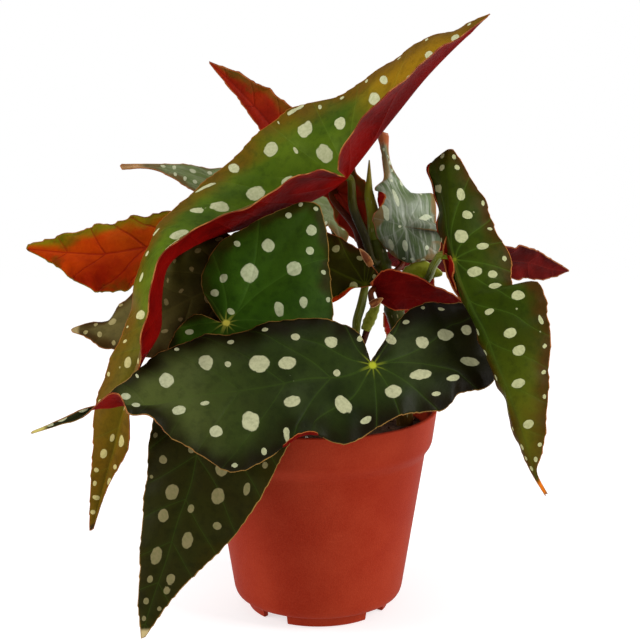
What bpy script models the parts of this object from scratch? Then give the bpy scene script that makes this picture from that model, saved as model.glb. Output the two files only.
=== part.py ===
"""Potted polka dot begonia: a house plant with arching, wing-shaped spotted leaves in a plastic nursery pot.

Metres, +Z up. The origin is on the ground under the middle of the pot, and -Y is the plant's front.
Lengths in the tables are in millimetres, as (x, y, z), and MM turns them into metres.
"""

import bmesh
import bpy
import math
from mathutils import Matrix, Vector, noise

MM = 0.001

# Driving dimensions of the pot, in metres. Heights are above the ground.
POT_HEIGHT = 0.104
RIM_RADIUS = 0.060
COLLAR_FOOT_HEIGHT = 0.0804
COLLAR_FOOT_RADIUS = 0.0541
BODY_FOOT_HEIGHT = 0.0110
BODY_FOOT_RADIUS = 0.0434
FOOT_TOP = 0.0062
FOOT_RADIUS = 0.0360
FOOT_THICKNESS = 0.0030
WALL = 0.0014
POT_STEPS = 52

# The four gaps between the feet, which drain the pot. The bearing of the first one is measured from the
# front, to the right.
GAP_BEARING = math.radians(53)
GAP_ANGLE = math.radians(24)
GAP_STEPS = 4
DRAIN_RADIUS = 0.0035
DRAIN_DISTANCE = 0.026

# The soil's top is uneven by so much, in lumps of this size, with a rounded edge.
SOIL_LEVEL = 0.093
SOIL_UNEVENNESS = 0.0012
SOIL_LUMP = 0.012
SOIL_EDGE = 0.0006
SOIL_SHOULDER = 0.002
SOIL_STEPS = 40
SOIL_RINGS = 5
CANE_HOLE_GAP = 0.0006

# The gap between two pieces that touch in real life.
TOUCHING_GAP = 0.0003

# Leaves are fleshy: this is the blade's thickness, and how much each half arches towards its top side,
# as a part of that half's width.
LEAF_THICKNESS = 0.0008
LEAF_ARCH = 0.07
COLUMNS_IN_HALF = 3

# A stalk starts just off its cane and ends just under its blade, thinner there. It runs straight out from
# the cane for a first step, and straight up to the blade for a last step.
STALK_START_GAP = 0.0006
STALK_FIRST_STEP = 0.0015
STALK_END_GAP = 0.0015
STALK_LAST_STEP = 0.0030
STALK_PIECES = 11
STALK_TAPER = 0.7

# The scales at the joints are thin and hollow: how deep, as a part of half their width, and how wide the
# point is left, as a part of the widest place.
SCALE_THICKNESS = 0.0005
SCALE_HOLLOW = 0.5
SCALE_POINT_SHARE = 0.15
SCALE_ROWS = 6
SCALE_COLUMNS = 4

# Each leaf is lofted through cross-sections from the point of its large basal lobe to its drip tip. A
# section is three points: on the whole margin, on the rib, and on the cleft margin, which dips to the rib at
# the stalk.
# "stalk" counts the sections up to the one where the stalk joins. "top" is 1 where the upper side shows with
# the whole margin on the left of the way to the tip, and -1 in the mirror image.
LEAVES = {
    "leaf_top_arching": (
        {"stalk": 6, "top": 1, "colour": "olive"},
        ((80, -22, 298), (79, -22, 297), (78, -23, 296)),
        ((65, -8, 291), (67, -22, 285), (64, -31, 287)),
        ((47, 6, 283), (52, -22, 269), (47, -44, 276)),
        ((26, 15, 268), (38, -20, 251), (33, -50, 263)),
        ((7, 20, 257), (25, -16, 234), (17, -48, 248)),
        ((-3, 22, 254), (19, -13, 226), (9, -38, 229)),
        ((-13, 22, 252), (14, -10, 220), (13, -12, 221)),
        ((-20, 22, 247), (8, -9, 214), (5, -36, 226)),
        ((-31, 20, 238), (-6, -8, 206), (-7, -52, 227)),
        ((-45, 16, 225), (-27, -14, 197), (-22, -64, 218)),
        ((-60, 6, 213), (-46, -25, 194), (-40, -72, 211)),
        ((-72, -8, 203), (-59, -38, 190), (-56, -78, 204)),
        ((-81, -22, 191), (-69, -54, 183), (-67, -82, 196)),
        ((-86, -34, 175), (-71, -62, 169), (-73, -84, 181)),
        ((-90, -46, 154), (-71, -66, 158), (-77, -86, 163)),
        ((-98, -54, 137), (-80, -67, 142), (-79, -84, 148)),
        ((-103, -59, 120), (-88, -67, 123), (-85, -76, 128)),
        ((-105, -62, 97), (-95, -64, 99), (-88, -69, 101)),
        ((-107, -61, 74), (-101, -62, 80), (-98, -64, 82)),
        ((-108, -60, 59), (-107, -60, 59), (-106, -60, 60)),
    ),
    "leaf_front_wide": (
        {"stalk": 5, "top": -1, "colour": "dark green"},
        ((86, -44, 132), (87, -38, 137), (86, -34, 145)),
        ((77, -56, 127), (76, -46, 141), (74, -32, 161)),
        ((65, -64, 127), (65, -50, 143), (63, -31, 163)),
        ((58, -70, 121), (56, -55, 143), (53, -34, 163)),
        ((45, -75, 121), (44, -59, 142), (42, -40, 160)),
        ((30, -80, 117), (25, -67, 141), (24, -65, 142)),
        ((13, -86, 109), (12, -72, 137), (18, -56, 154)),
        ((-5, -90, 115), (-5, -75, 136), (-1, -56, 160)),
        ((-21, -95, 106), (-21, -79, 134), (-21, -58, 159)),
        ((-37, -99, 100), (-35, -83, 133), (-39, -62, 154)),
        ((-51, -100, 108), (-49, -87, 132), (-55, -64, 153)),
        ((-64, -100, 116), (-61, -91, 131), (-69, -74, 149)),
        ((-74, -100, 126), (-73, -94, 129), (-80, -82, 143)),
        ((-83, -101, 128), (-82, -97, 130), (-85, -90, 139)),
        ((-85, -106, 136), (-86, -99, 130), (-89, -94, 137)),
        ((-89, -109, 138), (-91, -100, 129), (-92, -97, 134)),
        ((-95, -106, 133), (-96, -100, 129), (-96, -100, 131)),
        ((-101, -103, 127), (-101, -101, 128), (-101, -102, 130)),
        ((-113, -101, 122), (-113, -101, 123), (-112, -102, 125)),
        ((-125, -100, 118), (-126, -100, 118), (-125, -100, 119)),
    ),
    "leaf_front_drooping": (
        {"stalk": 5, "top": -1, "colour": "green"},
        ((1, -22, 208), (-2, -22, 210), (-9, -23, 210)),
        ((4, -26, 194), (-9, -29, 200), (-20, -28, 206)),
        ((5, -29, 182), (-19, -35, 187), (-33, -32, 200)),
        ((6, -33, 169), (-29, -41, 173), (-49, -37, 189)),
        ((7, -38, 157), (-37, -47, 163), (-54, -41, 171)),
        ((6, -44, 143), (-43, -50, 157), (-45, -50, 157)),
        ((2, -52, 129), (-47, -53, 147), (-57, -45, 160)),
        ((-5, -64, 118), (-51, -58, 132), (-68, -49, 149)),
        ((-13, -69, 105), (-53, -63, 115), (-75, -54, 126)),
        ((-20, -71, 92), (-56, -67, 100), (-78, -59, 104)),
        ((-28, -73, 77), (-59, -70, 85), (-80, -63, 85)),
        ((-42, -74, 58), (-65, -72, 68), (-82, -67, 67)),
        ((-56, -75, 44), (-70, -73, 51), (-83, -70, 48)),
        ((-68, -75, 31), (-76, -74, 34), (-84, -72, 29)),
        ((-81, -75, 12), (-83, -75, 11), (-83, -75, 12)),
    ),
    "leaf_right_hanging": (
        {"stalk": 5, "top": -1, "colour": "green"},
        ((64, -20, 235), (62, -20, 235), (60, -20, 234)),
        ((71, -22, 224), (61, -26, 228), (54, -16, 227)),
        ((78, -26, 213), (61, -32, 217), (57, -16, 218)),
        ((82, -31, 203), (61, -37, 206), (59, -20, 205)),
        ((85, -35, 194), (61, -41, 196), (59, -28, 194)),
        ((90, -39, 187), (63, -45, 186), (62, -45, 186)),
        ((92, -43, 175), (67, -51, 173), (64, -47, 178)),
        ((102, -47, 173), (71, -56, 164), (68, -43, 167)),
        ((106, -53, 162), (76, -61, 155), (74, -49, 154)),
        ((107, -58, 152), (81, -65, 142), (79, -54, 140)),
        ((106, -63, 134), (87, -69, 128), (86, -59, 124)),
        ((105, -67, 117), (92, -71, 114), (89, -63, 113)),
        ((103, -70, 100), (97, -72, 100), (95, -67, 98)),
        ((101, -71, 90), (101, -72, 88), (100, -70, 88)),
        ((106, -72, 81), (105, -72, 81), (105, -72, 80)),
    ),
    "leaf_glossy_twisted": (
        {"stalk": 3, "top": -1, "colour": "grey green"},
        ((42, -7, 179), (46, -8, 178), (50, -7, 180)),
        ((35, -4, 183), (45, -9, 183), (57, -6, 180)),
        ((29, -4, 191), (44, -9, 190), (60, -3, 188)),
        ((27, -6, 199), (43, -7, 196), (44, -7, 196)),
        ((28, -8, 204), (42, -5, 201), (58, 4, 196)),
        ((29, -6, 210), (41, -2, 207), (58, 10, 209)),
        ((28, -4, 215), (38, 2, 214), (49, 10, 209)),
        ((32, 2, 218), (36, 4, 220), (42, 8, 215)),
        ((32, 4, 226), (34, 2, 228), (36, 5, 225)),
        ((29, 2, 241), (31, 0, 242), (34, 1, 241)),
    ),
    "leaf_red_centre": (
        {"stalk": 1, "top": 1, "colour": "red"},
        ((25, -24, 171), (26, -22, 169), (27, -21, 167)),
        ((28, -27, 175), (27, -22, 168), (27, -22, 168)),
        ((31, -30, 178), (31, -24, 167), (30, -19, 161)),
        ((37, -32, 179), (37, -24, 166), (36, -16, 157)),
        ((46, -31, 176), (45, -22, 164), (45, -13, 156)),
        ((55, -28, 171), (56, -19, 161), (57, -10, 150)),
        ((67, -23, 164), (68, -14, 155), (70, -6, 145)),
        ((80, -16, 154), (83, -9, 146), (86, -4, 140)),
        ((96, -6, 136), (97, -5, 135), (97, -4, 135)),
    ),
    "leaf_small_centre": (
        {"stalk": 1, "top": 1, "colour": "dark olive"},
        ((30, -14, 173), (29, -15, 171), (29, -16, 169)),
        ((25, -12, 179), (23, -16, 169), (23, -17, 168)),
        ((20, -9, 185), (17, -15, 171), (16, -18, 167)),
        ((13, -7, 189), (12, -14, 173), (12, -18, 164)),
        ((5, -5, 193), (6, -13, 176), (6, -19, 161)),
        ((-3, -4, 193), (-2, -12, 178), (0, -19, 161)),
        ((-10, -5, 189), (-9, -10, 180), (-7, -13, 173)),
        ((-17, -8, 183), (-17, -8, 182), (-17, -8, 181)),
    ),
    "leaf_red_upper_left": (
        {"stalk": 2, "top": -1, "colour": "red"},
        ((26, 4, 197), (24, 10, 189), (20, 16, 185)),
        ((25, 4, 210), (17, 14, 199), (12, 22, 192)),
        ((19, 8, 222), (9, 20, 210), (4, 28, 206)),
        ((7, 15, 234), (-6, 27, 221), (-11, 35, 214)),
        ((-7, 24, 246), (-18, 34, 235), (-24, 41, 229)),
        ((-23, 33, 259), (-32, 41, 251), (-35, 46, 247)),
        ((-40, 40, 268), (-44, 45, 263), (-46, 48, 261)),
        ((-56, 46, 274), (-56, 47, 274), (-56, 47, 273)),
    ),
    "leaf_grey_back": (
        {"stalk": 1, "top": 1, "colour": "grey green"},
        ((18, 50, 198), (18, 42, 190), (14, 36, 180)),
        ((6, 54, 212), (6, 43, 196), (5, 40, 190)),
        ((-10, 56, 223), (-13, 42, 200), (-15, 32, 182)),
        ((-32, 52, 223), (-33, 40, 206), (-36, 30, 188)),
        ((-50, 46, 219), (-53, 37, 212), (-55, 29, 202)),
        ((-70, 38, 222), (-72, 33, 219), (-72, 28, 215)),
        ((-86, 30, 223), (-86, 28, 222), (-85, 26, 221)),
        ((-99, 22, 224), (-100, 22, 223), (-99, 22, 221)),
    ),
    "leaf_orange_left": (
        {"stalk": 2, "top": -1, "colour": "orange"},
        ((-54, 17, 195), (-54, 22, 188), (-55, 26, 182)),
        ((-58, 13, 202), (-60, 21, 187), (-62, 29, 174)),
        ((-64, 9, 203), (-67, 19, 186), (-70, 29, 169)),
        ((-76, 6, 201), (-80, 16, 184), (-81, 26, 165)),
        ((-92, 0, 199), (-94, 10, 182), (-94, 20, 162)),
        ((-105, -6, 197), (-107, 4, 181), (-107, 13, 160)),
        ((-118, -11, 194), (-118, -4, 183), (-119, 3, 166)),
        ((-130, -15, 191), (-130, -12, 185), (-130, -8, 178)),
        ((-140, -18, 189), (-141, -18, 187), (-140, -18, 186)),
    ),
    "leaf_dark_left": (
        {"stalk": 1, "top": 1, "colour": "dark olive"},
        ((-35, -20, 189), (-30, -26, 175), (-29, -30, 162)),
        ((-46, -16, 195), (-41, -24, 172), (-43, -32, 149)),
        ((-62, -16, 189), (-59, -26, 165), (-60, -36, 141)),
        ((-75, -18, 180), (-74, -29, 158), (-75, -38, 137)),
        ((-86, -20, 169), (-86, -31, 155), (-88, -38, 140)),
        ((-95, -21, 161), (-96, -31, 153), (-96, -37, 142)),
        ((-101, -24, 153), (-103, -31, 151), (-103, -36, 142)),
        ((-110, -26, 152), (-110, -30, 150), (-110, -33, 146)),
        ((-118, -28, 150), (-119, -28, 149), (-118, -29, 148)),
    ),
    "leaf_maroon_right": (
        {"stalk": 1, "top": 1, "colour": "maroon"},
        ((33, 8, 180), (34, 12, 177), (35, 17, 173)),
        ((40, 9, 184), (41, 17, 177), (42, 25, 170)),
        ((58, 17, 184), (59, 27, 175), (61, 37, 166)),
        ((79, 26, 184), (80, 37, 174), (82, 48, 162)),
        ((99, 42, 179), (101, 51, 170), (103, 61, 159)),
        ((113, 55, 176), (114, 61, 167), (116, 68, 157)),
        ((126, 68, 168), (126, 72, 162), (128, 76, 156)),
        ((138, 80, 160), (138, 80, 159), (137, 80, 159)),
    ),
    "leaf_back_left": (
        {"stalk": 2, "top": 1, "colour": "green"},
        ((-6, 28, 178), (-11, 27, 180), (-16, 27, 178)),
        ((8, 40, 173), (-13, 38, 175), (-30, 32, 171)),
        ((13, 56, 165), (-18, 51, 167), (-20, 51, 167)),
        ((10, 76, 152), (-26, 70, 156), (-49, 61, 156)),
        ((0, 92, 126), (-36, 88, 132), (-64, 77, 132)),
        ((-20, 102, 98), (-46, 100, 103), (-69, 90, 104)),
        ((-44, 107, 72), (-57, 107, 75), (-68, 103, 76)),
        ((-65, 108, 53), (-66, 108, 52), (-67, 108, 53)),
    ),
    "leaf_back_right": (
        {"stalk": 1, "top": 1, "colour": "green"},
        ((60, 39, 165), (55, 37, 167), (50, 35, 165)),
        ((65, 55, 144), (54, 46, 152), (52, 45, 152)),
        ((80, 63, 134), (58, 64, 140), (37, 60, 141)),
        ((83, 79, 115), (62, 82, 120), (38, 78, 122)),
        ((75, 93, 95), (63, 96, 97), (45, 92, 99)),
        ((66, 101, 82), (60, 103, 82), (52, 101, 83)),
        ((59, 106, 69), (58, 106, 68), (57, 106, 69)),
    ),
}

# Canes: the middle line from inside the soil upwards, as (x, y, z) and the radius, in millimetres. The radius
# swells at each joint.
CANES = {
    "cane_main": [
        (44, 4, 80, 4.2),
        (44, 4, 100, 4.3),
        (43, 3, 125, 4.1),
        (41, 2, 141, 4.2),
        (38, 1, 153, 4.7),
        (34, 0, 165, 4.0),
        (31, 0, 177, 4.8),
        (29, 0, 184, 4.2),
        (28, 0, 191, 3.8),
    ],
    "cane_front": [
        (12, -10, 80, 3.8),
        (11, -10, 100, 3.8),
        (12, -11, 118, 4.2),
        (14, -12, 134, 3.7),
        (16, -12, 144, 3.9),
    ],
    "cane_back": [
        (-18, 10, 80, 4.0),
        (-20, 12, 105, 4.0),
        (-22, 14, 128, 4.4),
        (-21, 15, 150, 3.7),
        (-17, 16, 170, 4.1),
        (-12, 17, 184, 3.0),
    ],
}

# The spear of the youngest leaf, still rolled up, on top of the main cane.
GROWING_TIP = [
    (28, 0, 191.6, 3.7),
    (27, 0, 201, 3.1),
    (25, 0, 211, 2.3),
    (25, 0, 219, 1.3),
    (25, 0, 228, 0.4),
]

# Leaf stalks: the cane, the height where the stalk leaves it, the points on its way, and the radius, all in
# millimetres.
STALKS = {
    "leaf_top_arching": ("cane_main", 179, [(23, -6, 191), (17, -8, 206)], 2.2),
    "leaf_right_hanging": (
        "cane_main", 154, [(46, -6, 160), (53, -14, 171), (56, -28, 182), (59, -37, 187)], 1.9
    ),
    "leaf_glossy_twisted": ("cane_main", 184, [(35, 5, 190)], 1.6),
    "leaf_red_upper_left": ("cane_main", 175, [(22, 6, 183), (19, 9, 192)], 1.7),
    "leaf_maroon_right": ("cane_main", 166, [(38, 9, 170)], 1.6),
    "leaf_back_right": ("cane_main", 140, [(47, 14, 144), (52, 30, 146)], 1.8),
    "leaf_small_centre": ("cane_front", 141, [(19, -15, 151), (21, -17, 159)], 2.2),
    "leaf_red_centre": ("cane_front", 138, [(24, -14, 146), (27, -18, 157)], 1.7),
    "leaf_front_wide": ("cane_front", 116, [(15, -30, 120), (20, -50, 126)], 2.3),
    "leaf_front_drooping": ("cane_back", 124, [(-30, -8, 131), (-40, -32, 146)], 2.2),
    "leaf_orange_left": ("cane_back", 152, [(-36, 16, 162), (-54, 18, 176)], 1.8),
    "leaf_dark_left": ("cane_back", 133, [(-34, -4, 144), (-40, -14, 160)], 1.8),
    "leaf_grey_back": ("cane_back", 172, [(-6, 20, 176), (6, 30, 178), (9, 46, 184)], 1.7),
    "leaf_back_left": ("cane_back", 160, [(-17, 32, 160), (-18, 44, 162)], 1.9),
}

# Bracts at the joints: foot, middle and point of the scale's back, half its width, and the way its face
# looks.
STIPULES = {
    "stipule_right_hanging": [(43, -8, 170), (51, -8, 174), (61, -9, 173), 5.5, (0, -1, 0)],
    "stipule_centre_spear": [(23, -20, 147), (26, -23, 155), (30, -25, 164), 2.8, (0, -1, 0)],
    "stipule_centre_short": [(25, -28, 161), (28, -29, 163), (31, -30, 165), 1.8, (0, -1, 0.2)],
    "stipule_main_orange": [(26, -15, 178), (23, -17, 183), (20, -18, 187), 1.8, (0.2, -1, 0)],
    "stipule_back_upper": [(-22, 21, 166), (-24, 25, 174), (-24, 27, 182), 2.4, (-0.5, 1, 0)],
    "stipule_back_lower": [(-28, 18, 128), (-32, 21, 135), (-34, 22, 143), 2.4, (-0.7, 0.7, 0)],
}

# Base colour, roughness and metallic value of each material.
FINISHES = {
    "terracotta plastic": ((0.30, 0.045, 0.020), 0.55, 0.0),
    "peat": ((0.035, 0.020, 0.012), 0.95, 0.0),
    "cane green": ((0.035, 0.060, 0.012), 0.45, 0.0),
    "stalk green": ((0.16, 0.20, 0.035), 0.40, 0.0),
    "bract": ((0.25, 0.24, 0.07), 0.55, 0.0),
    "olive": ((0.10, 0.13, 0.020), 0.35, 0.0),
    "dark green": ((0.025, 0.055, 0.018), 0.35, 0.0),
    "green": ((0.035, 0.085, 0.015), 0.35, 0.0),
    "grey green": ((0.16, 0.21, 0.12), 0.25, 0.0),
    "dark olive": ((0.035, 0.040, 0.010), 0.40, 0.0),
    "red": ((0.30, 0.012, 0.010), 0.40, 0.0),
    "maroon": ((0.12, 0.008, 0.010), 0.40, 0.0),
    "orange": ((0.55, 0.10, 0.020), 0.45, 0.0),
}


def clear_scene():
    for obj in list(bpy.data.objects):
        bpy.data.objects.remove(obj)


def new_collection(name):
    collection = bpy.data.collections.new(name)
    bpy.context.scene.collection.children.link(collection)
    return collection


def new_material(name):
    colour, roughness, metallic = FINISHES[name]
    material = bpy.data.materials.new(name)
    material.use_nodes = True
    shader = material.node_tree.nodes["Principled BSDF"]
    shader.inputs["Base Color"].default_value = (*colour, 1)
    shader.inputs["Roughness"].default_value = roughness
    shader.inputs["Metallic"].default_value = metallic
    return material


def finish(obj, collection, material_name):
    """Puts the object in its collection, with a material of its own."""
    for old in list(obj.users_collection):
        old.objects.unlink(obj)
    collection.objects.link(obj)
    if material_name:
        material = new_material(material_name)
        material.name = f"{obj.name} {material_name}"
        obj.data.materials.append(material)


def mesh_object(name, vertices, faces, collection, material_name):
    mesh = bpy.data.meshes.new(name)
    mesh.from_pydata(vertices, [], faces)
    obj = bpy.data.objects.new(name, mesh)
    finish(obj, collection, material_name)
    return obj


def turned(name, profile, steps, collection, material_name):
    """A profile of (radius, height) points, run down the outer side and back up, turned about the Z axis."""
    vertices = [(radius, 0, height) for radius, height in profile]
    edges = [(i, i + 1) for i in range(len(profile) - 1)]
    if profile[0][0] > 0:
        edges.append((len(profile) - 1, 0))
    mesh = bpy.data.meshes.new(name)
    mesh.from_pydata(vertices, edges, [])
    obj = bpy.data.objects.new(name, mesh)
    finish(obj, collection, material_name)
    screw = obj.modifiers.new("Turn", "SCREW")
    screw.steps = steps
    screw.render_steps = steps
    screw.use_merge_vertices = True
    screw.merge_threshold = 0.00005
    return obj


def rail_slopes(points, stations):
    slopes = []
    last = len(points) - 1
    for i in range(len(points)):
        low = max(i - 1, 0)
        high = min(i + 1, last)
        before = (points[i] - points[low]) / (stations[i] - stations[low]) if i > 0 else None
        after = (points[high] - points[i]) / (stations[high] - stations[i]) if i < last else None
        if before is None or after is None:
            slopes.append(after or before)
            continue
        span = stations[high] - stations[low]
        weighted = before * (stations[high] - stations[i]) + after * (stations[i] - stations[low])
        slopes.append(weighted / span)
    return slopes


def rail_point(points, stations, slopes, at):
    """The point of a smooth rail at a station, between the two points on either side of it."""
    i = max(k for k in range(len(stations) - 1) if stations[k] <= at or k == 0)
    span = stations[i + 1] - stations[i]
    s = (at - stations[i]) / span
    return (
        points[i] * (2 * s**3 - 3 * s**2 + 1)
        + slopes[i] * (span * (s**3 - 2 * s**2 + s))
        + points[i + 1] * (3 * s**2 - 2 * s**3)
        + slopes[i + 1] * (span * (s**3 - s**2))
    )


def smooth_rail(points, stations, wanted, corner=None):
    """A smooth curve through the points, read at the wanted stations. It turns sharply at a corner."""
    if corner is None:
        slopes = rail_slopes(points, stations)
        return [rail_point(points, stations, slopes, at) for at in wanted]
    before = [at for at in wanted if at <= stations[corner]]
    after = wanted[len(before):]
    start = smooth_rail(points[: corner + 1], stations[: corner + 1], before)
    return start + smooth_rail(points[corner:], stations[corner:], after)


def chord_stations(points):
    """How far along the chain of points each one lies."""
    stations = [0.0]
    for a, b in zip(points, points[1:]):
        stations.append(stations[-1] + (b - a).length)
    return stations


class Blade:
    """A leaf's loft: its three rails, with a row for each section and one half way between sections."""

    def __init__(self, facts, sections):
        rails = [[Vector(section[k]) * MM for section in sections] for k in range(3)]
        stations = chord_stations(rails[1])
        wanted = [stations[0]]
        for a, b in zip(stations, stations[1:]):
            wanted += [(a + b) / 2, b]
        self.top = facts["top"]
        self.stalk_row = 2 * facts["stalk"]
        self.whole = smooth_rail(rails[0], stations, wanted)
        self.rib = smooth_rail(rails[1], stations, wanted)
        self.cleft = smooth_rail(rails[2], stations, wanted, facts["stalk"])

    def along(self, row):
        return self.rib[min(row + 1, len(self.rib) - 1)] - self.rib[max(row - 1, 0)]

    def half_normal(self, row, margin, side):
        """The way the top side of one half looks. side is 1 for the half of the whole margin."""
        return self.along(row).cross(self.rib[row] - margin[row]).normalized() * self.top * side

    def junction(self):
        """Where the stalk meets the blade, and the way the top side looks there."""
        row = self.stalk_row
        return self.rib[row], self.half_normal(row, self.whole, 1)

    def row(self, i):
        """The points across one row, from the whole margin over the rib to the cleft margin."""
        points = []
        for margin, side in ((self.whole, 1), (self.cleft, -1)):
            width = (margin[i] - self.rib[i]).length
            normal = self.half_normal(i, margin, side) if width > 0.5 * MM else Vector()
            for k in range(COLUMNS_IN_HALF):
                share = 1 - k / COLUMNS_IN_HALF
                arch = normal * (width * LEAF_ARCH * math.sin(math.pi * share))
                points.append(self.rib[i].lerp(margin[i], share) + arch)
            if side == 1:
                half = points
                points = []
        return half + [self.rib[i]] + points[::-1]


def add_leaf(name, facts, sections, collection):
    blade = Blade(facts, sections)
    rows = [blade.row(i) for i in range(len(blade.rib))]
    across = len(rows[0])
    vertices = [point for row in rows for point in row]
    faces = []
    for i in range(len(rows) - 1):
        for k in range(across - 1):
            corner = i * across + k
            face = (corner, corner + across, corner + across + 1, corner + 1)
            faces.append(face if blade.top == 1 else face[::-1])
    obj = mesh_object(name, vertices, faces, collection, facts["colour"])
    obj.data.shade_smooth()
    solid = obj.modifiers.new("Thickness", "SOLIDIFY")
    solid.thickness = LEAF_THICKNESS
    solid.offset = 0
    return blade


def add_tube(name, points, radii, collection, material_name):
    """A round stem along the points, with a radius at each, as a curve with closed ends."""
    curve = bpy.data.curves.new(name, "CURVE")
    curve.dimensions = "3D"
    curve.bevel_depth = 1.0
    curve.bevel_resolution = 2
    curve.use_fill_caps = True
    spline = curve.splines.new("POLY")
    spline.points.add(len(points) - 1)
    for at, point, radius in zip(spline.points, points, radii):
        at.co = (*point, 1)
        at.radius = radius
    obj = bpy.data.objects.new(name, curve)
    finish(obj, collection, material_name)
    return obj


def even_path(points, radii, pieces):
    """The smooth curve through the points, and its radius, at equal steps."""
    stations = chord_stations(points)
    wanted = [stations[-1] * i / pieces for i in range(pieces + 1)]
    path = smooth_rail(points, stations, wanted)
    widths = smooth_rail([Vector((r, 0, 0)) for r in radii], stations, wanted)
    return path, [width.x for width in widths]


class Cane:
    def __init__(self, rows):
        self.points = [Vector(row[:3]) * MM for row in rows]
        self.radii = [row[3] * MM for row in rows]
        self.path, self.widths = even_path(self.points, self.radii, 3 * (len(rows) - 1))

    def at_height(self, height):
        """The middle, the way along and the radius at a height."""
        for a, b, radius in zip(self.path, self.path[1:], self.widths):
            if a.z <= height <= b.z:
                return a.lerp(b, (height - a.z) / (b.z - a.z)), (b - a).normalized(), radius
        return self.path[-1], (self.path[-1] - self.path[-2]).normalized(), self.widths[-1]


def add_canes(collection):
    canes = {}
    for name, rows in CANES.items():
        cane = Cane(rows)
        add_tube(name, cane.path, cane.widths, collection, "cane green")
        canes[name] = cane
    tip = [Vector(row[:3]) * MM for row in GROWING_TIP]
    path, widths = even_path(tip, [row[3] * MM for row in GROWING_TIP], 8)
    add_tube("growing_tip", path, widths, collection, "stalk green")
    return canes


def add_stalk(leaf_name, blade, canes, collection):
    """A leaf stalk. It starts square to its cane and ends square to the blade, with a small gap at each end."""
    cane_name, height, way, radius = STALKS[leaf_name]
    middle, along, cane_radius = canes[cane_name].at_height(height * MM)
    way = [Vector(point) * MM for point in way]
    out = way[0] - middle
    out = (out - along * out.dot(along)).normalized()
    start = middle + out * (cane_radius + STALK_START_GAP)
    end, up = blade.junction()
    end = end - up * (LEAF_THICKNESS / 2 + STALK_END_GAP)
    points = [start, start + out * STALK_FIRST_STEP, *way, end - up * STALK_LAST_STEP, end]
    radii = [radius * MM] * (len(points) - 2) + [radius * STALK_TAPER * MM] * 2
    path, widths = even_path(points, radii, STALK_PIECES)
    name = leaf_name.replace("leaf", "petiole")
    add_tube(name, path, widths, collection, "stalk green")


def add_stipule(name, facts, collection):
    """A thin pointed scale, hollow on the side that faces the stem."""
    foot, middle, point, half_width, facing = facts
    spine = [Vector(foot) * MM, Vector(middle) * MM, Vector(point) * MM]
    path, _ = even_path(spine, [0, 0, 0], SCALE_ROWS)
    facing = Vector(facing).normalized()
    vertices = []
    for i, at in enumerate(path):
        along = (path[min(i + 1, SCALE_ROWS)] - path[max(i - 1, 0)]).normalized()
        side = along.cross(facing).normalized()
        swell = math.sin(math.pi * (0.25 + 0.75 * i / SCALE_ROWS))
        width = half_width * MM * (SCALE_POINT_SHARE + (1 - SCALE_POINT_SHARE) * swell)
        for k in range(SCALE_COLUMNS + 1):
            share = 2 * k / SCALE_COLUMNS - 1
            vertices.append(at + side * (width * share) - facing * (SCALE_HOLLOW * width * share * share))
    faces = []
    for i in range(SCALE_ROWS):
        for k in range(SCALE_COLUMNS):
            corner = i * (SCALE_COLUMNS + 1) + k
            faces.append((corner, corner + SCALE_COLUMNS + 1, corner + SCALE_COLUMNS + 2, corner + 1))
    obj = mesh_object(name, vertices, faces, collection, "bract")
    obj.data.shade_smooth()
    solid = obj.modifiers.new("Thickness", "SOLIDIFY")
    solid.thickness = SCALE_THICKNESS
    solid.offset = 0


def inner_wall():
    """The pot's inner wall from the bottom up, as (radius, height)."""
    return [
        (FOOT_RADIUS, FOOT_TOP + WALL),
        (BODY_FOOT_RADIUS - 0.0026 - WALL, BODY_FOOT_HEIGHT - 0.0018),
        (BODY_FOOT_RADIUS - WALL, BODY_FOOT_HEIGHT + 0.0022),
        (COLLAR_FOOT_RADIUS - WALL, COLLAR_FOOT_HEIGHT + 0.0005),
        (RIM_RADIUS - 0.0034 - WALL, POT_HEIGHT - 0.0180),
        (RIM_RADIUS - 0.0010 - WALL, POT_HEIGHT),
    ]


def pot_profile():
    """Down the outside from the rim to a foot, in under the bottom, and up the inside back to the rim."""
    return [
        (RIM_RADIUS - 0.0004, POT_HEIGHT),
        (RIM_RADIUS, POT_HEIGHT - 0.0006),
        (RIM_RADIUS - 0.0022, POT_HEIGHT - 0.0165),
        (RIM_RADIUS - 0.0032, POT_HEIGHT - 0.0188),
        (COLLAR_FOOT_RADIUS + 0.0005, COLLAR_FOOT_HEIGHT + 0.0012),
        (COLLAR_FOOT_RADIUS, COLLAR_FOOT_HEIGHT),
        (BODY_FOOT_RADIUS, BODY_FOOT_HEIGHT),
        (BODY_FOOT_RADIUS - 0.0008, BODY_FOOT_HEIGHT - 0.0026),
        (BODY_FOOT_RADIUS - 0.0026, BODY_FOOT_HEIGHT - 0.0046),
        (FOOT_RADIUS + 0.0022, FOOT_TOP),
        (FOOT_RADIUS + 0.0008, FOOT_TOP - 0.0012),
        (FOOT_RADIUS, 0.0006),
        (FOOT_RADIUS - 0.0006, 0),
        (FOOT_RADIUS - FOOT_THICKNESS, 0),
        (FOOT_RADIUS - FOOT_THICKNESS, FOOT_TOP),
        (0, FOOT_TOP),
        (0, FOOT_TOP + WALL),
        *inner_wall(),
    ]


def add_cutter(mesh_maker, name, cutters):
    bm = bmesh.new()
    mesh_maker(bm)
    mesh = bpy.data.meshes.new(name)
    bm.to_mesh(mesh)
    bm.free()
    cutter = bpy.data.objects.new(name, mesh)
    finish(cutter, cutters, None)
    cutter.hide_render = True
    cutter.display_type = "WIRE"
    return cutter


def cut(obj, cutter):
    boolean = obj.modifiers.new(f"Cut {cutter.name}", "BOOLEAN")
    boolean.operation = "DIFFERENCE"
    boolean.object = cutter


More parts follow.
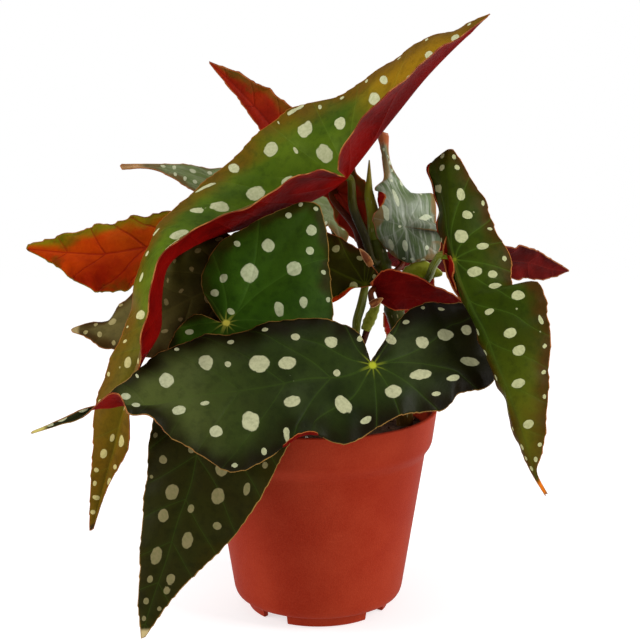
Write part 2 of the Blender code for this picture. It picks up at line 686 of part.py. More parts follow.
def foot_gap(bearing):
    """A wedge of the foot ring, from under the ground to just under the pot's bottom, open outwards."""
    def build(bm):
        inner = FOOT_RADIUS - FOOT_THICKNESS - 0.001
        outer = BODY_FOOT_RADIUS + 0.004
        rings = []
        for height in (-0.002, FOOT_TOP - 0.0002):
            ring = []
            for radius, order in ((inner, 1), (outer, -1)):
                angles = [GAP_ANGLE * (i / GAP_STEPS - 0.5) + bearing for i in range(GAP_STEPS + 1)]
                for angle in angles[::order]:
                    ring.append(bm.verts.new((radius * math.sin(angle), -radius * math.cos(angle), height)))
            rings.append(ring)
        count = len(rings[0])
        bm.faces.new(rings[0])
        bm.faces.new(rings[1][::-1])
        for i in range(count):
            k = (i + 1) % count
            bm.faces.new((rings[0][k], rings[0][i], rings[1][i], rings[1][k]))
        bmesh.ops.recalc_face_normals(bm, faces=bm.faces)
    return build


def drill(x, y, low, high, radius, sides=20):
    """A plain upright cylinder."""
    def build(bm):
        place = Matrix.Translation((x, y, (low + high) / 2))
        bmesh.ops.create_cone(
            bm, cap_ends=True, segments=sides, radius1=radius, radius2=radius, depth=high - low, matrix=place
        )
    return build


def add_pot(collection, cutters):
    pot = turned("nursery_pot", pot_profile(), POT_STEPS, collection, "terracotta plastic")
    for i in range(4):
        bearing = GAP_BEARING + i * math.pi / 2
        cut(pot, add_cutter(foot_gap(bearing), f"foot_gap_{i + 1}", cutters))
        x, y = DRAIN_DISTANCE * math.sin(bearing), -DRAIN_DISTANCE * math.cos(bearing)
        hole = drill(x, y, FOOT_TOP - 2 * WALL, FOOT_TOP + 3 * WALL, DRAIN_RADIUS)
        cut(pot, add_cutter(hole, f"drain_{i + 1}", cutters))


def add_soil(collection, cutters):
    """The soil fills the pot to just under its rim. Its top is uneven, and the canes stand in holes in it."""
    outline = [(radius - TOUCHING_GAP, height + TOUCHING_GAP) for radius, height in inner_wall()[:-1]]
    bottom = outline[0][1]
    top_radius = outline[-1][0] + 2 * TOUCHING_GAP
    outline.append((top_radius, SOIL_LEVEL - SOIL_SHOULDER))
    uneven_from = len(outline)
    outline.append((top_radius - SOIL_EDGE, SOIL_LEVEL - SOIL_EDGE))
    outline += [(top_radius * (1 - i / SOIL_RINGS), SOIL_LEVEL) for i in range(1, SOIL_RINGS)]
    bm = bmesh.new()
    turns = []
    for i, (radius, height) in enumerate(outline):
        ring = []
        for s in range(SOIL_STEPS):
            angle = 2 * math.pi * s / SOIL_STEPS
            x, y = radius * math.cos(angle), radius * math.sin(angle)
            lump = noise.noise(Vector((x, y, 0)) / SOIL_LUMP) if i >= uneven_from else 0
            ring.append(bm.verts.new((x, y, height + SOIL_UNEVENNESS * lump)))
        turns.append(ring)
    foot = bm.verts.new((0, 0, bottom))
    peak = bm.verts.new((0, 0, SOIL_LEVEL + SOIL_EDGE))
    for s in range(SOIL_STEPS):
        k = (s + 1) % SOIL_STEPS
        bm.faces.new((foot, turns[0][k], turns[0][s]))
        bm.faces.new((peak, turns[-1][s], turns[-1][k]))
        for low, high in zip(turns, turns[1:]):
            bm.faces.new((low[s], low[k], high[k], high[s]))
    mesh = bpy.data.meshes.new("potting_soil")
    bm.to_mesh(mesh)
    bm.free()
    soil = bpy.data.objects.new("potting_soil", mesh)
    finish(soil, collection, "peat")
    for name, rows in CANES.items():
        foot, above = [Vector(row[:3]) * MM for row in rows[:2]]
        buried = (SOIL_LEVEL - foot.z) / (above.z - foot.z)
        middle = foot.lerp(above, buried / 2)
        lean = (middle - foot).xy.length
        radius = max(rows[0][3], rows[1][3]) * MM + lean + CANE_HOLE_GAP
        hole = drill(middle.x, middle.y, foot.z - CANE_HOLE_GAP, POT_HEIGHT, radius)
        cut(soil, add_cutter(hole, f"hole_{name}", cutters))


def main():
    clear_scene()
    begonia = new_collection("potted polka dot begonia")
    cutters = new_collection("cutters")
    add_pot(begonia, cutters)
    add_soil(begonia, cutters)
    canes = add_canes(begonia)
    for name, (facts, *sections) in LEAVES.items():
        blade = add_leaf(name, facts, sections, begonia)
        add_stalk(name, blade, canes, begonia)
    for name, facts in STIPULES.items():
        add_stipule(name, facts, begonia)


main()
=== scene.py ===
# %% [markdown]
# # A potted polka dot begonia
#
# The plant has canes with swollen joints, a stalk to every leaf, and leaves shaped like a wing: the
# stalk joins the blade beside one end, a large lobe lies behind that place and a long drip tip ahead of
# it. The upper side is dark green with pale spots, the underside is wine red. It stands in a matt
# nursery pot.
#
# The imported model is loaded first. Every new piece lies where the model's node lies and takes its place
# in view, so the sizes are right and the looks can be as fine as we like.

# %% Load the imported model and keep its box
import math

import bpy
import numpy as np
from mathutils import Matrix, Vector, noise


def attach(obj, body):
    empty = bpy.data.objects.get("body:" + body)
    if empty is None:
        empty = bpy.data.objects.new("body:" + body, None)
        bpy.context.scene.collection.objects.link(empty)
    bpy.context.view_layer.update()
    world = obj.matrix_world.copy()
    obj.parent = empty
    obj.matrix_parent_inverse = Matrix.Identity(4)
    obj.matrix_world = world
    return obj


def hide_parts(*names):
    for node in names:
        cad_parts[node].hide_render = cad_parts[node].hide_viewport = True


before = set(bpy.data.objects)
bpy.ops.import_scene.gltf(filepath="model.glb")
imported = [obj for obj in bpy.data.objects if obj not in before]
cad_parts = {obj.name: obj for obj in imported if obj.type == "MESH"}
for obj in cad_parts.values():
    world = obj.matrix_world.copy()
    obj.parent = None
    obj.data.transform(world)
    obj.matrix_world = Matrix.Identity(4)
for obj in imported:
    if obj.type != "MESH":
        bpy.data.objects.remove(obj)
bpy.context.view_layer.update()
MM = 0.001

# %% [markdown]
# ## Small tools for modelling
#
# A leaf, a stalk and a bract are all one sheet of square cells that was bent into shape. So one helper
# adds a flat grid and lays its points in their places, row by row. It keeps the usual order: the
# columns run across and the rows run along. A mirrored grid would face inwards, so the helper can turn
# its faces round.

# %% A sheet of cells laid in place
def select_only(obj):
    bpy.ops.object.select_all(action="DESELECT")
    obj.select_set(True)
    bpy.context.view_layer.objects.active = obj


def add_sheet(name, points, turn_round=False):
    """points[row, column] are the places of the sheet's points, in millimetres."""
    rows, columns = points.shape[:2]
    bpy.ops.object.select_all(action="DESELECT")
    bpy.ops.mesh.primitive_grid_add(x_subdivisions=columns - 1, y_subdivisions=rows - 1, calc_uvs=False)
    sheet = bpy.context.object
    sheet.name = name
    sheet.data.vertices.foreach_set("co", (points * MM).astype(np.float32).ravel())
    if turn_round:
        sheet.data.flip_normals()
    sheet.data.update()
    return sheet


def add_point_values(obj, name, values):
    """Stores one number, or one vector, for each point of the mesh, for the materials to read."""
    kind = "FLOAT" if values.ndim == 1 else "FLOAT_VECTOR"
    attribute = obj.data.attributes.new(name, kind, "POINT")
    attribute.data.foreach_set("value" if values.ndim == 1 else "vector", values.astype(np.float32).ravel())


def add_flat_map(obj, name, places):
    """A UV map from one pair of numbers for each point."""
    layer = obj.data.uv_layers.new(name=name)
    corner_points = np.zeros(len(obj.data.loops), np.int32)
    obj.data.loops.foreach_get("vertex_index", corner_points)
    layer.data.foreach_set("uv", places[corner_points].astype(np.float32).ravel())


def close_up(obj, touching, outwards=True):
    """Sews points closer than touching, in metres, together, and fills the holes left."""
    select_only(obj)
    bpy.ops.object.mode_set(mode="EDIT")
    bpy.ops.mesh.select_all(action="SELECT")
    bpy.ops.mesh.remove_doubles(threshold=touching)
    bpy.ops.mesh.fill_holes(sides=0)
    if outwards:
        bpy.ops.mesh.normals_make_consistent(inside=False)
    bpy.ops.object.mode_set(mode="OBJECT")


def apply_modifiers(obj):
    select_only(obj)
    for modifier in list(obj.modifiers):
        bpy.ops.object.modifier_apply(modifier=modifier.name)


def keep(piece, *nodes, slot):
    """The piece stands for these nodes of the model, and moves with the only body."""
    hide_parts(*nodes)
    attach(piece, "root")
    size = piece.dimensions / MM
    print(f"{piece.name}: {size.x:.0f} x {size.y:.0f} x {size.z:.0f} mm, {len(piece.data.polygons)} faces")


# %% [markdown]
# ## Curves through a few places
#
# Leaves and stalks are given at a few places only. Between them they have to run smoothly, so the
# places are joined by cubic pieces whose slopes match. A leaf's margin turns sharply in the notch at
# the stalk, so the curve may be broken at one place.

# %% Smooth rails
def unit(vectors):
    return vectors / np.maximum(np.linalg.norm(vectors, axis=-1, keepdims=True), 1e-9)


def stations_of(points):
    """How far along the chords each point lies."""
    steps = np.linalg.norm(np.diff(points, axis=0), axis=1)
    return np.concatenate([[0], np.cumsum(steps)])


def smooth_rail(points, stations, at):
    """The places at the stations in at, on a smooth curve that passes the points at their stations."""
    slopes = np.gradient(points, stations, axis=0)
    i = np.clip(np.searchsorted(stations, at, side="right") - 1, 0, len(stations) - 2)
    span = (stations[i + 1] - stations[i])[:, None]
    s = (at - stations[i])[:, None] / span
    from_ends = points[i] * (2 * s**3 - 3 * s**2 + 1) + points[i + 1] * (3 * s**2 - 2 * s**3)
    from_slopes = slopes[i] * (s**3 - 2 * s**2 + s) + slopes[i + 1] * (s**3 - s**2)
    return from_ends + from_slopes * span


def broken_rail(points, stations, at, corner):
    """As smooth_rail, with a sharp turn at the corner's point."""
    before = at <= stations[corner] + 1e-6
    return np.concatenate([
        smooth_rail(points[:corner + 1], stations[:corner + 1], at[before]),
        smooth_rail(points[corner:], stations[corner:], at[~before]),
    ])


def fade(values, none, full):
    """0 at none, 1 at full, and smooth between, like the Smoothstep of a Map Range node."""
    share = np.clip((values - none) / (full - none), 0, 1)
    return share * share * (3 - 2 * share)


# %% [markdown]
# ## Tools for materials
#
# A material is a tree of nodes. Writing each link out takes many lines, so a small class adds a node
# and feeds its sockets at once: a number goes into the socket, an output of another node is linked to
# it.

# %% A writer of node trees
class Nodes:
    def __init__(self, tree):
        self.tree = tree

    def add(self, kind, **settings):
        made = self.tree.nodes.new(kind)
        for name, value in settings.items():
            setattr(made, name, value)
        return made

    def feed(self, socket, value):
        if isinstance(value, bpy.types.NodeSocket):
            self.tree.links.new(value, socket)
        elif value is not None:
            socket.default_value = value

    def math(self, operation, *values, clamp=False):
        made = self.add("ShaderNodeMath", operation=operation, use_clamp=clamp)
        for socket, value in zip(made.inputs, values):
            self.feed(socket, value)
        return made.outputs[0]

    def fade(self, value, none, full, least=0.0, most=1.0):
        made = self.add("ShaderNodeMapRange", interpolation_type="SMOOTHSTEP")
        for socket, number in zip(made.inputs, (value, none, full, least, most)):
            self.feed(socket, number)
        return made.outputs[0]

    def mix(self, share, first, second, way="MIX"):
        made = self.add("ShaderNodeMix", data_type="RGBA", blend_type=way)
        self.feed(made.inputs["Factor"], share)
        self.feed(made.inputs["A"], first)
        self.feed(made.inputs["B"], second)
        return made.outputs["Result"]

    def noise(self, place, scale, detail=2.0, roughness=0.5):
        made = self.add("ShaderNodeTexNoise")
        self.feed(made.inputs["Vector"], place)
        self.feed(made.inputs["Scale"], scale)
        self.feed(made.inputs["Detail"], detail)
        self.feed(made.inputs["Roughness"], roughness)
        return made.outputs["Fac"]

    def cells(self, place, scale, feature="F1"):
        made = self.add("ShaderNodeTexVoronoi", feature=feature)
        self.feed(made.inputs["Vector"], place)
        self.feed(made.inputs["Scale"], scale)
        return made.outputs["Distance"]

    def uneven(self, value, noise, reach):
        """The value, pushed up and down by a noise, in all by the reach."""
        return self.math("MULTIPLY_ADD", self.math("SUBTRACT", noise, 0.5), reach, value)

    def place(self):
        return self.add("ShaderNodeTexCoord").outputs["Object"]

    def group(self, tree, **values):
        """Places a node group. A value is named as its socket, with _ for a space."""
        made = self.add("ShaderNodeGroup", node_tree=tree)
        for name, value in values.items():
            self.feed(made.inputs[name.replace("_", " ")], value)
        return made


COLOUR, NUMBER = "NodeSocketColor", "NodeSocketFloat"


def new_group(name, inputs, outputs):
    """A node group with named sockets. Returns its writer, its inputs and its output node."""
    tree = bpy.data.node_groups.new(name, "ShaderNodeTree")
    for label, kind in inputs:
        tree.interface.new_socket(label, in_out="INPUT", socket_type=kind)
    for label, kind in outputs:
        tree.interface.new_socket(label, in_out="OUTPUT", socket_type=kind)
    nodes = Nodes(tree)
    return nodes, nodes.add("NodeGroupInput").outputs, nodes.add("NodeGroupOutput").inputs


def new_material(name, roughness=0.5, specular=0.1):
    material = bpy.data.materials.new(name)
    material.use_nodes = True
    shader = material.node_tree.nodes["Principled BSDF"]
    shader.inputs["Roughness"].default_value = roughness
    shader.inputs["Specular IOR Level"].default_value = specular
    return material, Nodes(material.node_tree), shader


def add_bump(nodes, shader, height, distance):
    """Height 0 to 1 becomes a relief that is distance deep, in metres."""
    bump = nodes.add("ShaderNodeBump")
    nodes.feed(bump.inputs["Distance"], distance)
    nodes.feed(bump.inputs["Height"], height)
    nodes.feed(shader.inputs["Normal"], bump.outputs["Normal"])


def finish_material(nodes, shader, made, relief):
    """Feeds a group's colour, roughness and height into the shader. The relief is in metres."""
    nodes.feed(shader.inputs["Base Color"], made.outputs["Color"])
    if "Roughness" in made.outputs:
        nodes.feed(shader.inputs["Roughness"], made.outputs["Roughness"])
    add_bump(nodes, shader, made.outputs["Height"], relief)


# %% [markdown]
# ## The room
#
# The plant is lit as in a small white studio: a bright room all round, one large soft lamp in front on
# the right, and a weaker one on the left. The floor is plain and pale, shows a soft shadow under the
# pot, and becomes as white as the wall further away. The camera stands a little above the plant and
# looks slightly down, so the upper sides of the front leaves show.

# %% Floor, lamps and camera
scene = bpy.context.scene
scene.view_settings.view_transform = "Standard"
world = bpy.data.worlds.new("white room")
scene.world = world
world.use_nodes = True
WALL_BRIGHTNESS = 1.0
ROOM_LIGHT = 0.36
FLOOR_PAINT = 0.55
FLOOR_GLOW = 0.64
FLOOR_FADE = (0.3, 1.2)
background = world.node_tree.nodes["Background"]
background.inputs["Color"].default_value = (1, 1, 1, 1)
seen = world.node_tree.nodes.new("ShaderNodeLightPath").outputs["Is Camera Ray"]
strength = world.node_tree.nodes.new("ShaderNodeMapRange")
strength.inputs["To Min"].default_value = ROOM_LIGHT
strength.inputs["To Max"].default_value = WALL_BRIGHTNESS
world.node_tree.links.new(seen, strength.inputs["Value"])
world.node_tree.links.new(strength.outputs["Result"], background.inputs["Strength"])


def add_lamp(name, place, target, size, watts):
    bpy.ops.object.light_add(type="AREA", location=place)
    lamp = bpy.context.object
    lamp.name = name
    lamp.data.size = size
    lamp.data.energy = watts
    lamp.rotation_euler = (Vector(target) - Vector(place)).to_track_quat("-Z", "Y").to_euler()
    return lamp


PLANT_MIDDLE = (0, 0, 0.16)
add_lamp("large lamp on the right", (1.05, -0.38, 0.60), PLANT_MIDDLE, 0.6, 12)
add_lamp("fill lamp on the left", (-1.05, -0.28, 0.50), PLANT_MIDDLE, 0.6, 9)
add_lamp("lamp above", (-0.10, 0.15, 1.25), PLANT_MIDDLE, 0.8, 5)

bpy.ops.mesh.primitive_circle_add(vertices=96, radius=4, fill_type="NGON", location=(0, 0, -0.0002))
floor = bpy.context.object
floor.name = "pale_floor"
floor_material, nodes, shader = new_material("pale floor", roughness=1.0, specular=0.0)
from_pot = nodes.add("ShaderNodeVectorMath", operation="LENGTH")
nodes.feed(from_pot.inputs[0], nodes.place())
nodes.feed(shader.inputs["Base Color"], nodes.fade(from_pot.outputs["Value"], *FLOOR_FADE, FLOOR_PAINT, 0.0))
nodes.feed(shader.inputs["Emission Strength"], nodes.fade(
    from_pot.outputs["Value"], *FLOOR_FADE, FLOOR_GLOW, WALL_BRIGHTNESS))
shader.inputs["Emission Color"].default_value = (1, 1, 1, 1)
floor.data.materials.append(floor_material)

CAMERA_PLACE = (0.0009, -0.730, 0.298)
CAMERA_TILT = math.radians(90 - 11.6)
bpy.ops.object.camera_add(location=CAMERA_PLACE, rotation=(CAMERA_TILT, 0, 0))
scene.camera = bpy.context.object
scene.camera.data.sensor_width = 36
scene.camera.data.lens = 83.87
print("camera is", round(Vector(CAMERA_PLACE).length, 3), "m from the pot's foot")

# %% [markdown]
# ## The pattern of veins
#
# On the real leaf strong veins spread like fingers from where the stalk joins, and the middle one runs
# on to the drip tip with side veins to the left and right. Both are drawn on the leaf as if it were
# pressed flat: the map "blade" holds how far a place lies along the leaf from the stalk, and how far
# across it. The same rule is used twice: here as nodes, for thin crisp lines, and later in numbers, to
# press the veins into the mesh.

# %% Vein distance as a node group
FINGER_ANGLE = math.radians(36)
FINGER_BEND = 0.0022
SIDE_SPACING = 21.0
SIDE_LEAN = 0.9
SIDE_BEND = 0.004
FIRST_SIDE_VEIN = 11.0
SIDE_TILT = 0.75
THINNER = 1.5
NOT_HERE = 50.0

nodes, _, result = new_group("vein distance", [], [
    ("Distance", NUMBER), ("From Stalk", NUMBER), ("Along", NUMBER), ("Across", NUMBER)])
flat = nodes.add("ShaderNodeSeparateXYZ")
nodes.feed(flat.inputs[0], nodes.add("ShaderNodeUVMap", uv_map="blade").outputs["UV"])
along = nodes.math("MULTIPLY", flat.outputs["X"], 1000.0)
across = nodes.math("MULTIPLY", flat.outputs["Y"], 1000.0)
aside = nodes.math("ABSOLUTE", across)
reach = nodes.math("SQRT", nodes.math("ADD", nodes.math("MULTIPLY", along, along),
                                      nodes.math("MULTIPLY", across, across)))
angle = nodes.math("ABSOLUTE", nodes.math("ARCTAN2", across, along))
bent = nodes.math("MULTIPLY", angle, nodes.math("MULTIPLY_ADD", reach, FINGER_BEND, 1.0))


def distance_to_multiples(value, spacing):
    """How far a value is from the nearest multiple of the spacing."""
    turns = nodes.math("DIVIDE", value, spacing)
    return nodes.math("MULTIPLY", nodes.math("ABSOLUTE", nodes.math(
        "SUBTRACT", turns, nodes.math("ROUND", turns))), spacing)


root = nodes.math("SUBTRACT", nodes.math("SUBTRACT", along, nodes.math("MULTIPLY", aside, SIDE_LEAN)),
                  nodes.math("MULTIPLY", nodes.math("MULTIPLY", aside, aside), SIDE_BEND))
past_first = nodes.math("GREATER_THAN", root, FIRST_SIDE_VEIN)
fingers = nodes.math("MULTIPLY", nodes.math("MULTIPLY", distance_to_multiples(bent, FINGER_ANGLE), reach),
                     THINNER)
fingers = nodes.math("MULTIPLY_ADD", past_first, NOT_HERE, fingers)
sides = nodes.math("MULTIPLY", distance_to_multiples(root, SIDE_SPACING), SIDE_TILT * THINNER)
sides = nodes.math("ADD", sides, nodes.math("MULTIPLY", nodes.math("SUBTRACT", 1.0, past_first), NOT_HERE))
middle = nodes.math("MULTIPLY_ADD", nodes.math("LESS_THAN", along, 0.0), NOT_HERE, aside)
nearest = nodes.math("MINIMUM", middle, nodes.math("MINIMUM", fingers, sides))
for label, value in (("Distance", nearest), ("From Stalk", reach), ("Along", along), ("Across", across)):
    nodes.feed(result[label], value)
vein_group = nodes.tree
print("vein distance:", len(vein_group.nodes), "nodes")


# %% The same rule in numbers
def vein_distance(along, across):
    aside = np.abs(across)
    reach = np.hypot(along, across)
    bent = np.abs(np.arctan2(across, along)) * (1 + reach * FINGER_BEND)
    root = along - aside * SIDE_LEAN - aside**2 * SIDE_BEND
    from_multiple = lambda value, spacing: np.abs(value / spacing - np.round(value / spacing)) * spacing
    fingers = from_multiple(bent, FINGER_ANGLE) * reach + NOT_HERE * (root > FIRST_SIDE_VEIN)
    sides = from_multiple(root, SIDE_SPACING) * SIDE_TILT + NOT_HERE * (root <= FIRST_SIDE_VEIN)
    middle = aside + NOT_HERE * (along < 0)
    return np.minimum(middle, np.minimum(fingers, sides))


# %% [markdown]
# ## Leaf spots
#
# Each spot is a pale blister with a crisp, slightly uneven outline. A spot that was painted on the
# points of the mesh would have a soft edge, so each point stores which way and how far the middle of
# its nearest spot lies, in spot radii. Those numbers run evenly between the points, and the edge is
# where their length passes 1. Dust-like dots too small for the mesh come from a cell texture.

# %% Spot mask as a node group
nodes, _, result = new_group("leaf spots", [], [("Spot", NUMBER), ("Dots", NUMBER)])
stored = nodes.add("ShaderNodeSeparateXYZ")
nodes.feed(stored.inputs[0], nodes.add("ShaderNodeAttribute", attribute_name="spot").outputs["Vector"])
sideways, onward, radii_away = stored.outputs
length = nodes.math("SQRT", nodes.math("ADD", nodes.math("MULTIPLY", sideways, sideways),
                                       nodes.math("MULTIPLY", onward, onward)))
length = nodes.math("MAXIMUM", length, nodes.math("MULTIPLY", radii_away, 0.85))
length = nodes.uneven(length, nodes.noise(nodes.place(), 330, 1.5), 0.42)
nodes.feed(result["Spot"], nodes.fade(length, 1.06, 0.92))
dots = nodes.cells(nodes.place(), 90)
rare = nodes.math("GREATER_THAN", nodes.noise(nodes.place(), 60, 1.0), 0.58)
nodes.feed(result["Dots"], nodes.math("MULTIPLY", nodes.fade(dots, 0.055, 0.035), rare))
spot_group = nodes.tree

# %% [markdown]
# ## The upper side
#
# The blade is darker between the veins, turns bronze towards the margin in blotches, and has a thin tan
# line on the margin itself. On the dark front leaf that margin band is near black, a painted shade, and
# the lighter patches and streaks on the blades are a painted sheen. Where the stalk joins, the blade is
# yellow, and the yellow runs a little way out along the veins. All of this is one node group, and each
# leaf gives it its own colours.

# %% Upper side as a node group
nodes, given, result = new_group("leaf upper side", [
    ("Blade", COLOUR), ("Shade", COLOUR), ("Far", COLOUR), ("Far Start", NUMBER), ("Far End", NUMBER),
    ("PaintedSheen", COLOUR), ("PaintedSheen Share", NUMBER), ("BronzeAndShade", COLOUR), ("BronzeAndShade Reach", NUMBER),
    ("Vein", COLOUR), ("Vein Strength", NUMBER), ("Heart", COLOUR), ("Heart Reach", NUMBER),
    ("Spot", COLOUR), ("Far Spot", COLOUR), ("Margin", COLOUR), ("Tip", COLOUR), ("Tip Length", NUMBER),
    ("Lobe", COLOUR), ("Lobe Share", NUMBER), ("Streaks", NUMBER), ("Smooth", NUMBER),
], [("Color", COLOUR), ("Roughness", NUMBER), ("Height", NUMBER)])
place = nodes.place()
veins = nodes.group(vein_group).outputs
marks = nodes.group(spot_group).outputs
from_margin = nodes.add("ShaderNodeAttribute", attribute_name="margin").outputs["Fac"]
from_tip = nodes.add("ShaderNodeAttribute", attribute_name="tip").outputs["Fac"]
clouds = nodes.noise(place, 34, 3.0, 0.55)
mottle = nodes.noise(place, 240, 3.0, 0.6)
colour = nodes.mix(nodes.fade(clouds, 0.36, 0.66), given["Blade"], given["Shade"])
# Painted sheen: lighter, greyer patches stand for light reflected by the glossy blade.
painted_sheen = nodes.fade(nodes.noise(place, 24, 2.0, 0.45), 0.44, 0.64)
colour = nodes.mix(nodes.math("MULTIPLY", painted_sheen, given["PaintedSheen Share"]), colour, given["PaintedSheen"])
far = nodes.add("ShaderNodeMapRange", interpolation_type="SMOOTHSTEP")
blurred = nodes.uneven(veins["Along"], clouds, 40.0)
for socket, value in zip(far.inputs, (blurred, given["Far Start"], given["Far End"])):
    nodes.feed(socket, value)
colour = nodes.mix(nodes.math("MULTIPLY", far.outputs[0], 0.9), colour, given["Far"])
lobe = nodes.math("MULTIPLY", nodes.fade(blurred, -8.0, -55.0), given["Lobe Share"])
colour = nodes.mix(lobe, colour, given["Lobe"])
spot_colour = nodes.mix(far.outputs[0], given["Spot"], given["Far Spot"])
# Painted sheen in streaks along the blade, in the same sheen colour.
stretched = nodes.add("ShaderNodeCombineXYZ")
nodes.feed(stretched.inputs["X"], nodes.math("MULTIPLY", veins["Along"], 0.05))
nodes.feed(stretched.inputs["Y"], nodes.math("MULTIPLY", veins["Across"], 0.55))
streaks = nodes.fade(nodes.noise(stretched.outputs[0], 1.0, 4.0, 0.6), 0.46, 0.62)
colour = nodes.mix(nodes.math("MULTIPLY", streaks, given["Streaks"]), colour, given["PaintedSheen"])
# A bronze band along the margin, in blotches. On the dark front leaf its colour is near black: there it is a
# painted shade.
ragged = nodes.uneven(from_margin, nodes.noise(place, 60, 3.0), 24.0)
bronze_and_shade = nodes.fade(nodes.math("DIVIDE", ragged, given["BronzeAndShade Reach"]), 1.0, 0.0)
colour = nodes.mix(nodes.math("MULTIPLY", bronze_and_shade, 0.9), colour, given["BronzeAndShade"])
colour = nodes.mix(nodes.fade(mottle, 0.42, 0.75, 0.0, 0.28), colour, (0.0, 0.0, 0.0, 1))
thin = nodes.fade(veins["From Stalk"], 0.0, 90.0, 0.50, 0.24)
line = nodes.fade(nodes.math("DIVIDE", veins["Distance"], thin), 1.6, 0.4)
strength = nodes.math(
    "MULTIPLY", given["Vein Strength"], nodes.fade(veins["From Stalk"], 80.0, 4.0, 0.45, 1.0))
colour = nodes.mix(nodes.math("MULTIPLY", line, strength), colour, given["Vein"])
halo = nodes.fade(veins["Distance"], 3.6, 0.2, 0.0, 0.28)
colour = nodes.mix(nodes.math("MULTIPLY", halo, strength), colour, given["Vein"])
in_heart = nodes.math("DIVIDE", veins["From Stalk"], given["Heart Reach"])
heart = nodes.fade(in_heart, 1.0, 0.45)
rays = nodes.math("MULTIPLY", line, nodes.fade(in_heart, 3.4, 0.8, 0.0, 0.32))
colour = nodes.mix(nodes.math("MAXIMUM", heart, rays), colour, given["Heart"])
spot = nodes.math("MAXIMUM", marks["Spot"], nodes.math("MULTIPLY", marks["Dots"], 0.7))
grains = nodes.fade(nodes.noise(place, 700, 2.0), 0.35, 0.7, 0.0, 0.22)
spot_colour = nodes.mix(grains, spot_colour, given["Blade"])
colour = nodes.mix(nodes.math("MULTIPLY", spot, 0.96), colour, spot_colour)
at_tip = nodes.fade(nodes.math("DIVIDE", from_tip, given["Tip Length"]), 1.0, 0.55)
colour = nodes.mix(at_tip, colour, given["Tip"])
thin_line = nodes.uneven(from_margin, nodes.noise(place, 150, 2.0), 0.8)
colour = nodes.mix(nodes.fade(thin_line, 0.50, 0.15), colour, given["Margin"])
nodes.feed(result["Color"], colour)
roughness = nodes.math("MULTIPLY_ADD", mottle, 0.22, nodes.math("SUBTRACT", 0.42, nodes.math(
    "MULTIPLY", given["Smooth"], 0.18)))
nodes.feed(result["Roughness"], nodes.math("MULTIPLY_ADD", spot, 0.12, roughness))
valley = nodes.fade(veins["Distance"], 1.6, 0.0)
net = nodes.fade(nodes.cells(place, 420, "DISTANCE_TO_EDGE"), 0.0, 0.22)
height = nodes.math("MULTIPLY_ADD", net, 0.05, nodes.math("MULTIPLY", valley, -0.25))
nodes.feed(result["Height"], nodes.math("MULTIPLY_ADD", spot, 0.18, height))
upper_group = nodes.tree

# %% [markdown]
# ## The underside
#
# Below, the leaf is red to wine red, glossier, and the veins stand out as paler ribs. A leaf that is
# lit from behind glows: the light comes through orange, and green where the blade is thin near its
# margin. The glow is a colour that depends on the place on the leaf only, so it looks the same from
# every side.

# %% Underside as a node group
nodes, given, result = new_group("leaf underside", [
    ("Red", COLOUR), ("Deep", COLOUR), ("Rib", COLOUR), ("Rib Strength", NUMBER), ("Glow", COLOUR),
    ("Glow Share", NUMBER), ("Glow Side", NUMBER), ("Margin", COLOUR), ("Edge", COLOUR),
    ("Edge Share", NUMBER),
    ("Edge Reach", NUMBER), ("Patch", COLOUR), ("Patch Share", NUMBER),
], [("Color", COLOUR), ("Roughness", NUMBER), ("Height", NUMBER)])
place = nodes.place()
veins = nodes.group(vein_group).outputs
from_margin = nodes.add("ShaderNodeAttribute", attribute_name="margin").outputs["Fac"]
clouds = nodes.noise(place, 45, 3.0, 0.6)
fine = nodes.noise(place, 420, 3.0, 0.6)
colour = nodes.mix(nodes.fade(clouds, 0.34, 0.66), given["Red"], given["Deep"])
one_half = nodes.fade(nodes.math("MULTIPLY", veins["Across"], given["Glow Side"]), -6.0, 14.0)
glow = nodes.math("MULTIPLY", given["Glow Share"], nodes.math("MULTIPLY_ADD", one_half, 0.75, 0.25))
glow = nodes.math("MULTIPLY", glow, nodes.fade(nodes.noise(place, 60, 3.0), 0.30, 0.62, 0.35, 1.0))
colour = nodes.mix(glow, colour, given["Glow"])
glow_half = nodes.fade(nodes.math("MULTIPLY", veins["Across"], given["Glow Side"]), 0.0, 4.0)
blurred = nodes.uneven(from_margin, nodes.noise(place, 70, 3.0), 16.0)
edge = nodes.fade(nodes.math("DIVIDE", blurred, nodes.math("MAXIMUM", given["Edge Reach"], 0.1)), 1.0, 0.0)
edge = nodes.math("MULTIPLY", edge, nodes.math("MULTIPLY", given["Edge Share"], glow_half))
colour = nodes.mix(edge, colour, given["Edge"])
patches = nodes.fade(nodes.noise(place, 50, 4.0, 0.6), 0.50, 0.62)
patches = nodes.math("MULTIPLY", patches, nodes.fade(blurred, 14.0, 4.0))
colour = nodes.mix(nodes.math("MULTIPLY", patches, given["Patch Share"]), colour, given["Patch"])
colour = nodes.mix(nodes.fade(fine, 0.45, 0.75, 0.0, 0.22), colour, given["Deep"])
thin = nodes.fade(veins["From Stalk"], 0.0, 80.0, 0.9, 0.35)
rib = nodes.fade(nodes.math("DIVIDE", veins["Distance"], thin), 1.4, 0.4)
colour = nodes.mix(nodes.math("MULTIPLY", rib, given["Rib Strength"]), colour, given["Rib"])
colour = nodes.mix(nodes.fade(from_margin, 0.75, 0.35), colour, given["Margin"])
nodes.feed(result["Color"], colour)
nodes.feed(result["Roughness"], nodes.math("MULTIPLY_ADD", fine, 0.25, 0.4))
net = nodes.fade(nodes.cells(place, 260, "DISTANCE_TO_EDGE"), 0.20, 0.0)
ridge = nodes.math("MULTIPLY", nodes.fade(veins["Distance"], 1.5, 0.0), given["Rib Strength"])
nodes.feed(result["Height"], nodes.math("MULTIPLY_ADD", net, 0.12, ridge))
under_group = nodes.tree
print("leaf groups:", len(upper_group.nodes), "and", len(under_group.nodes), "nodes")

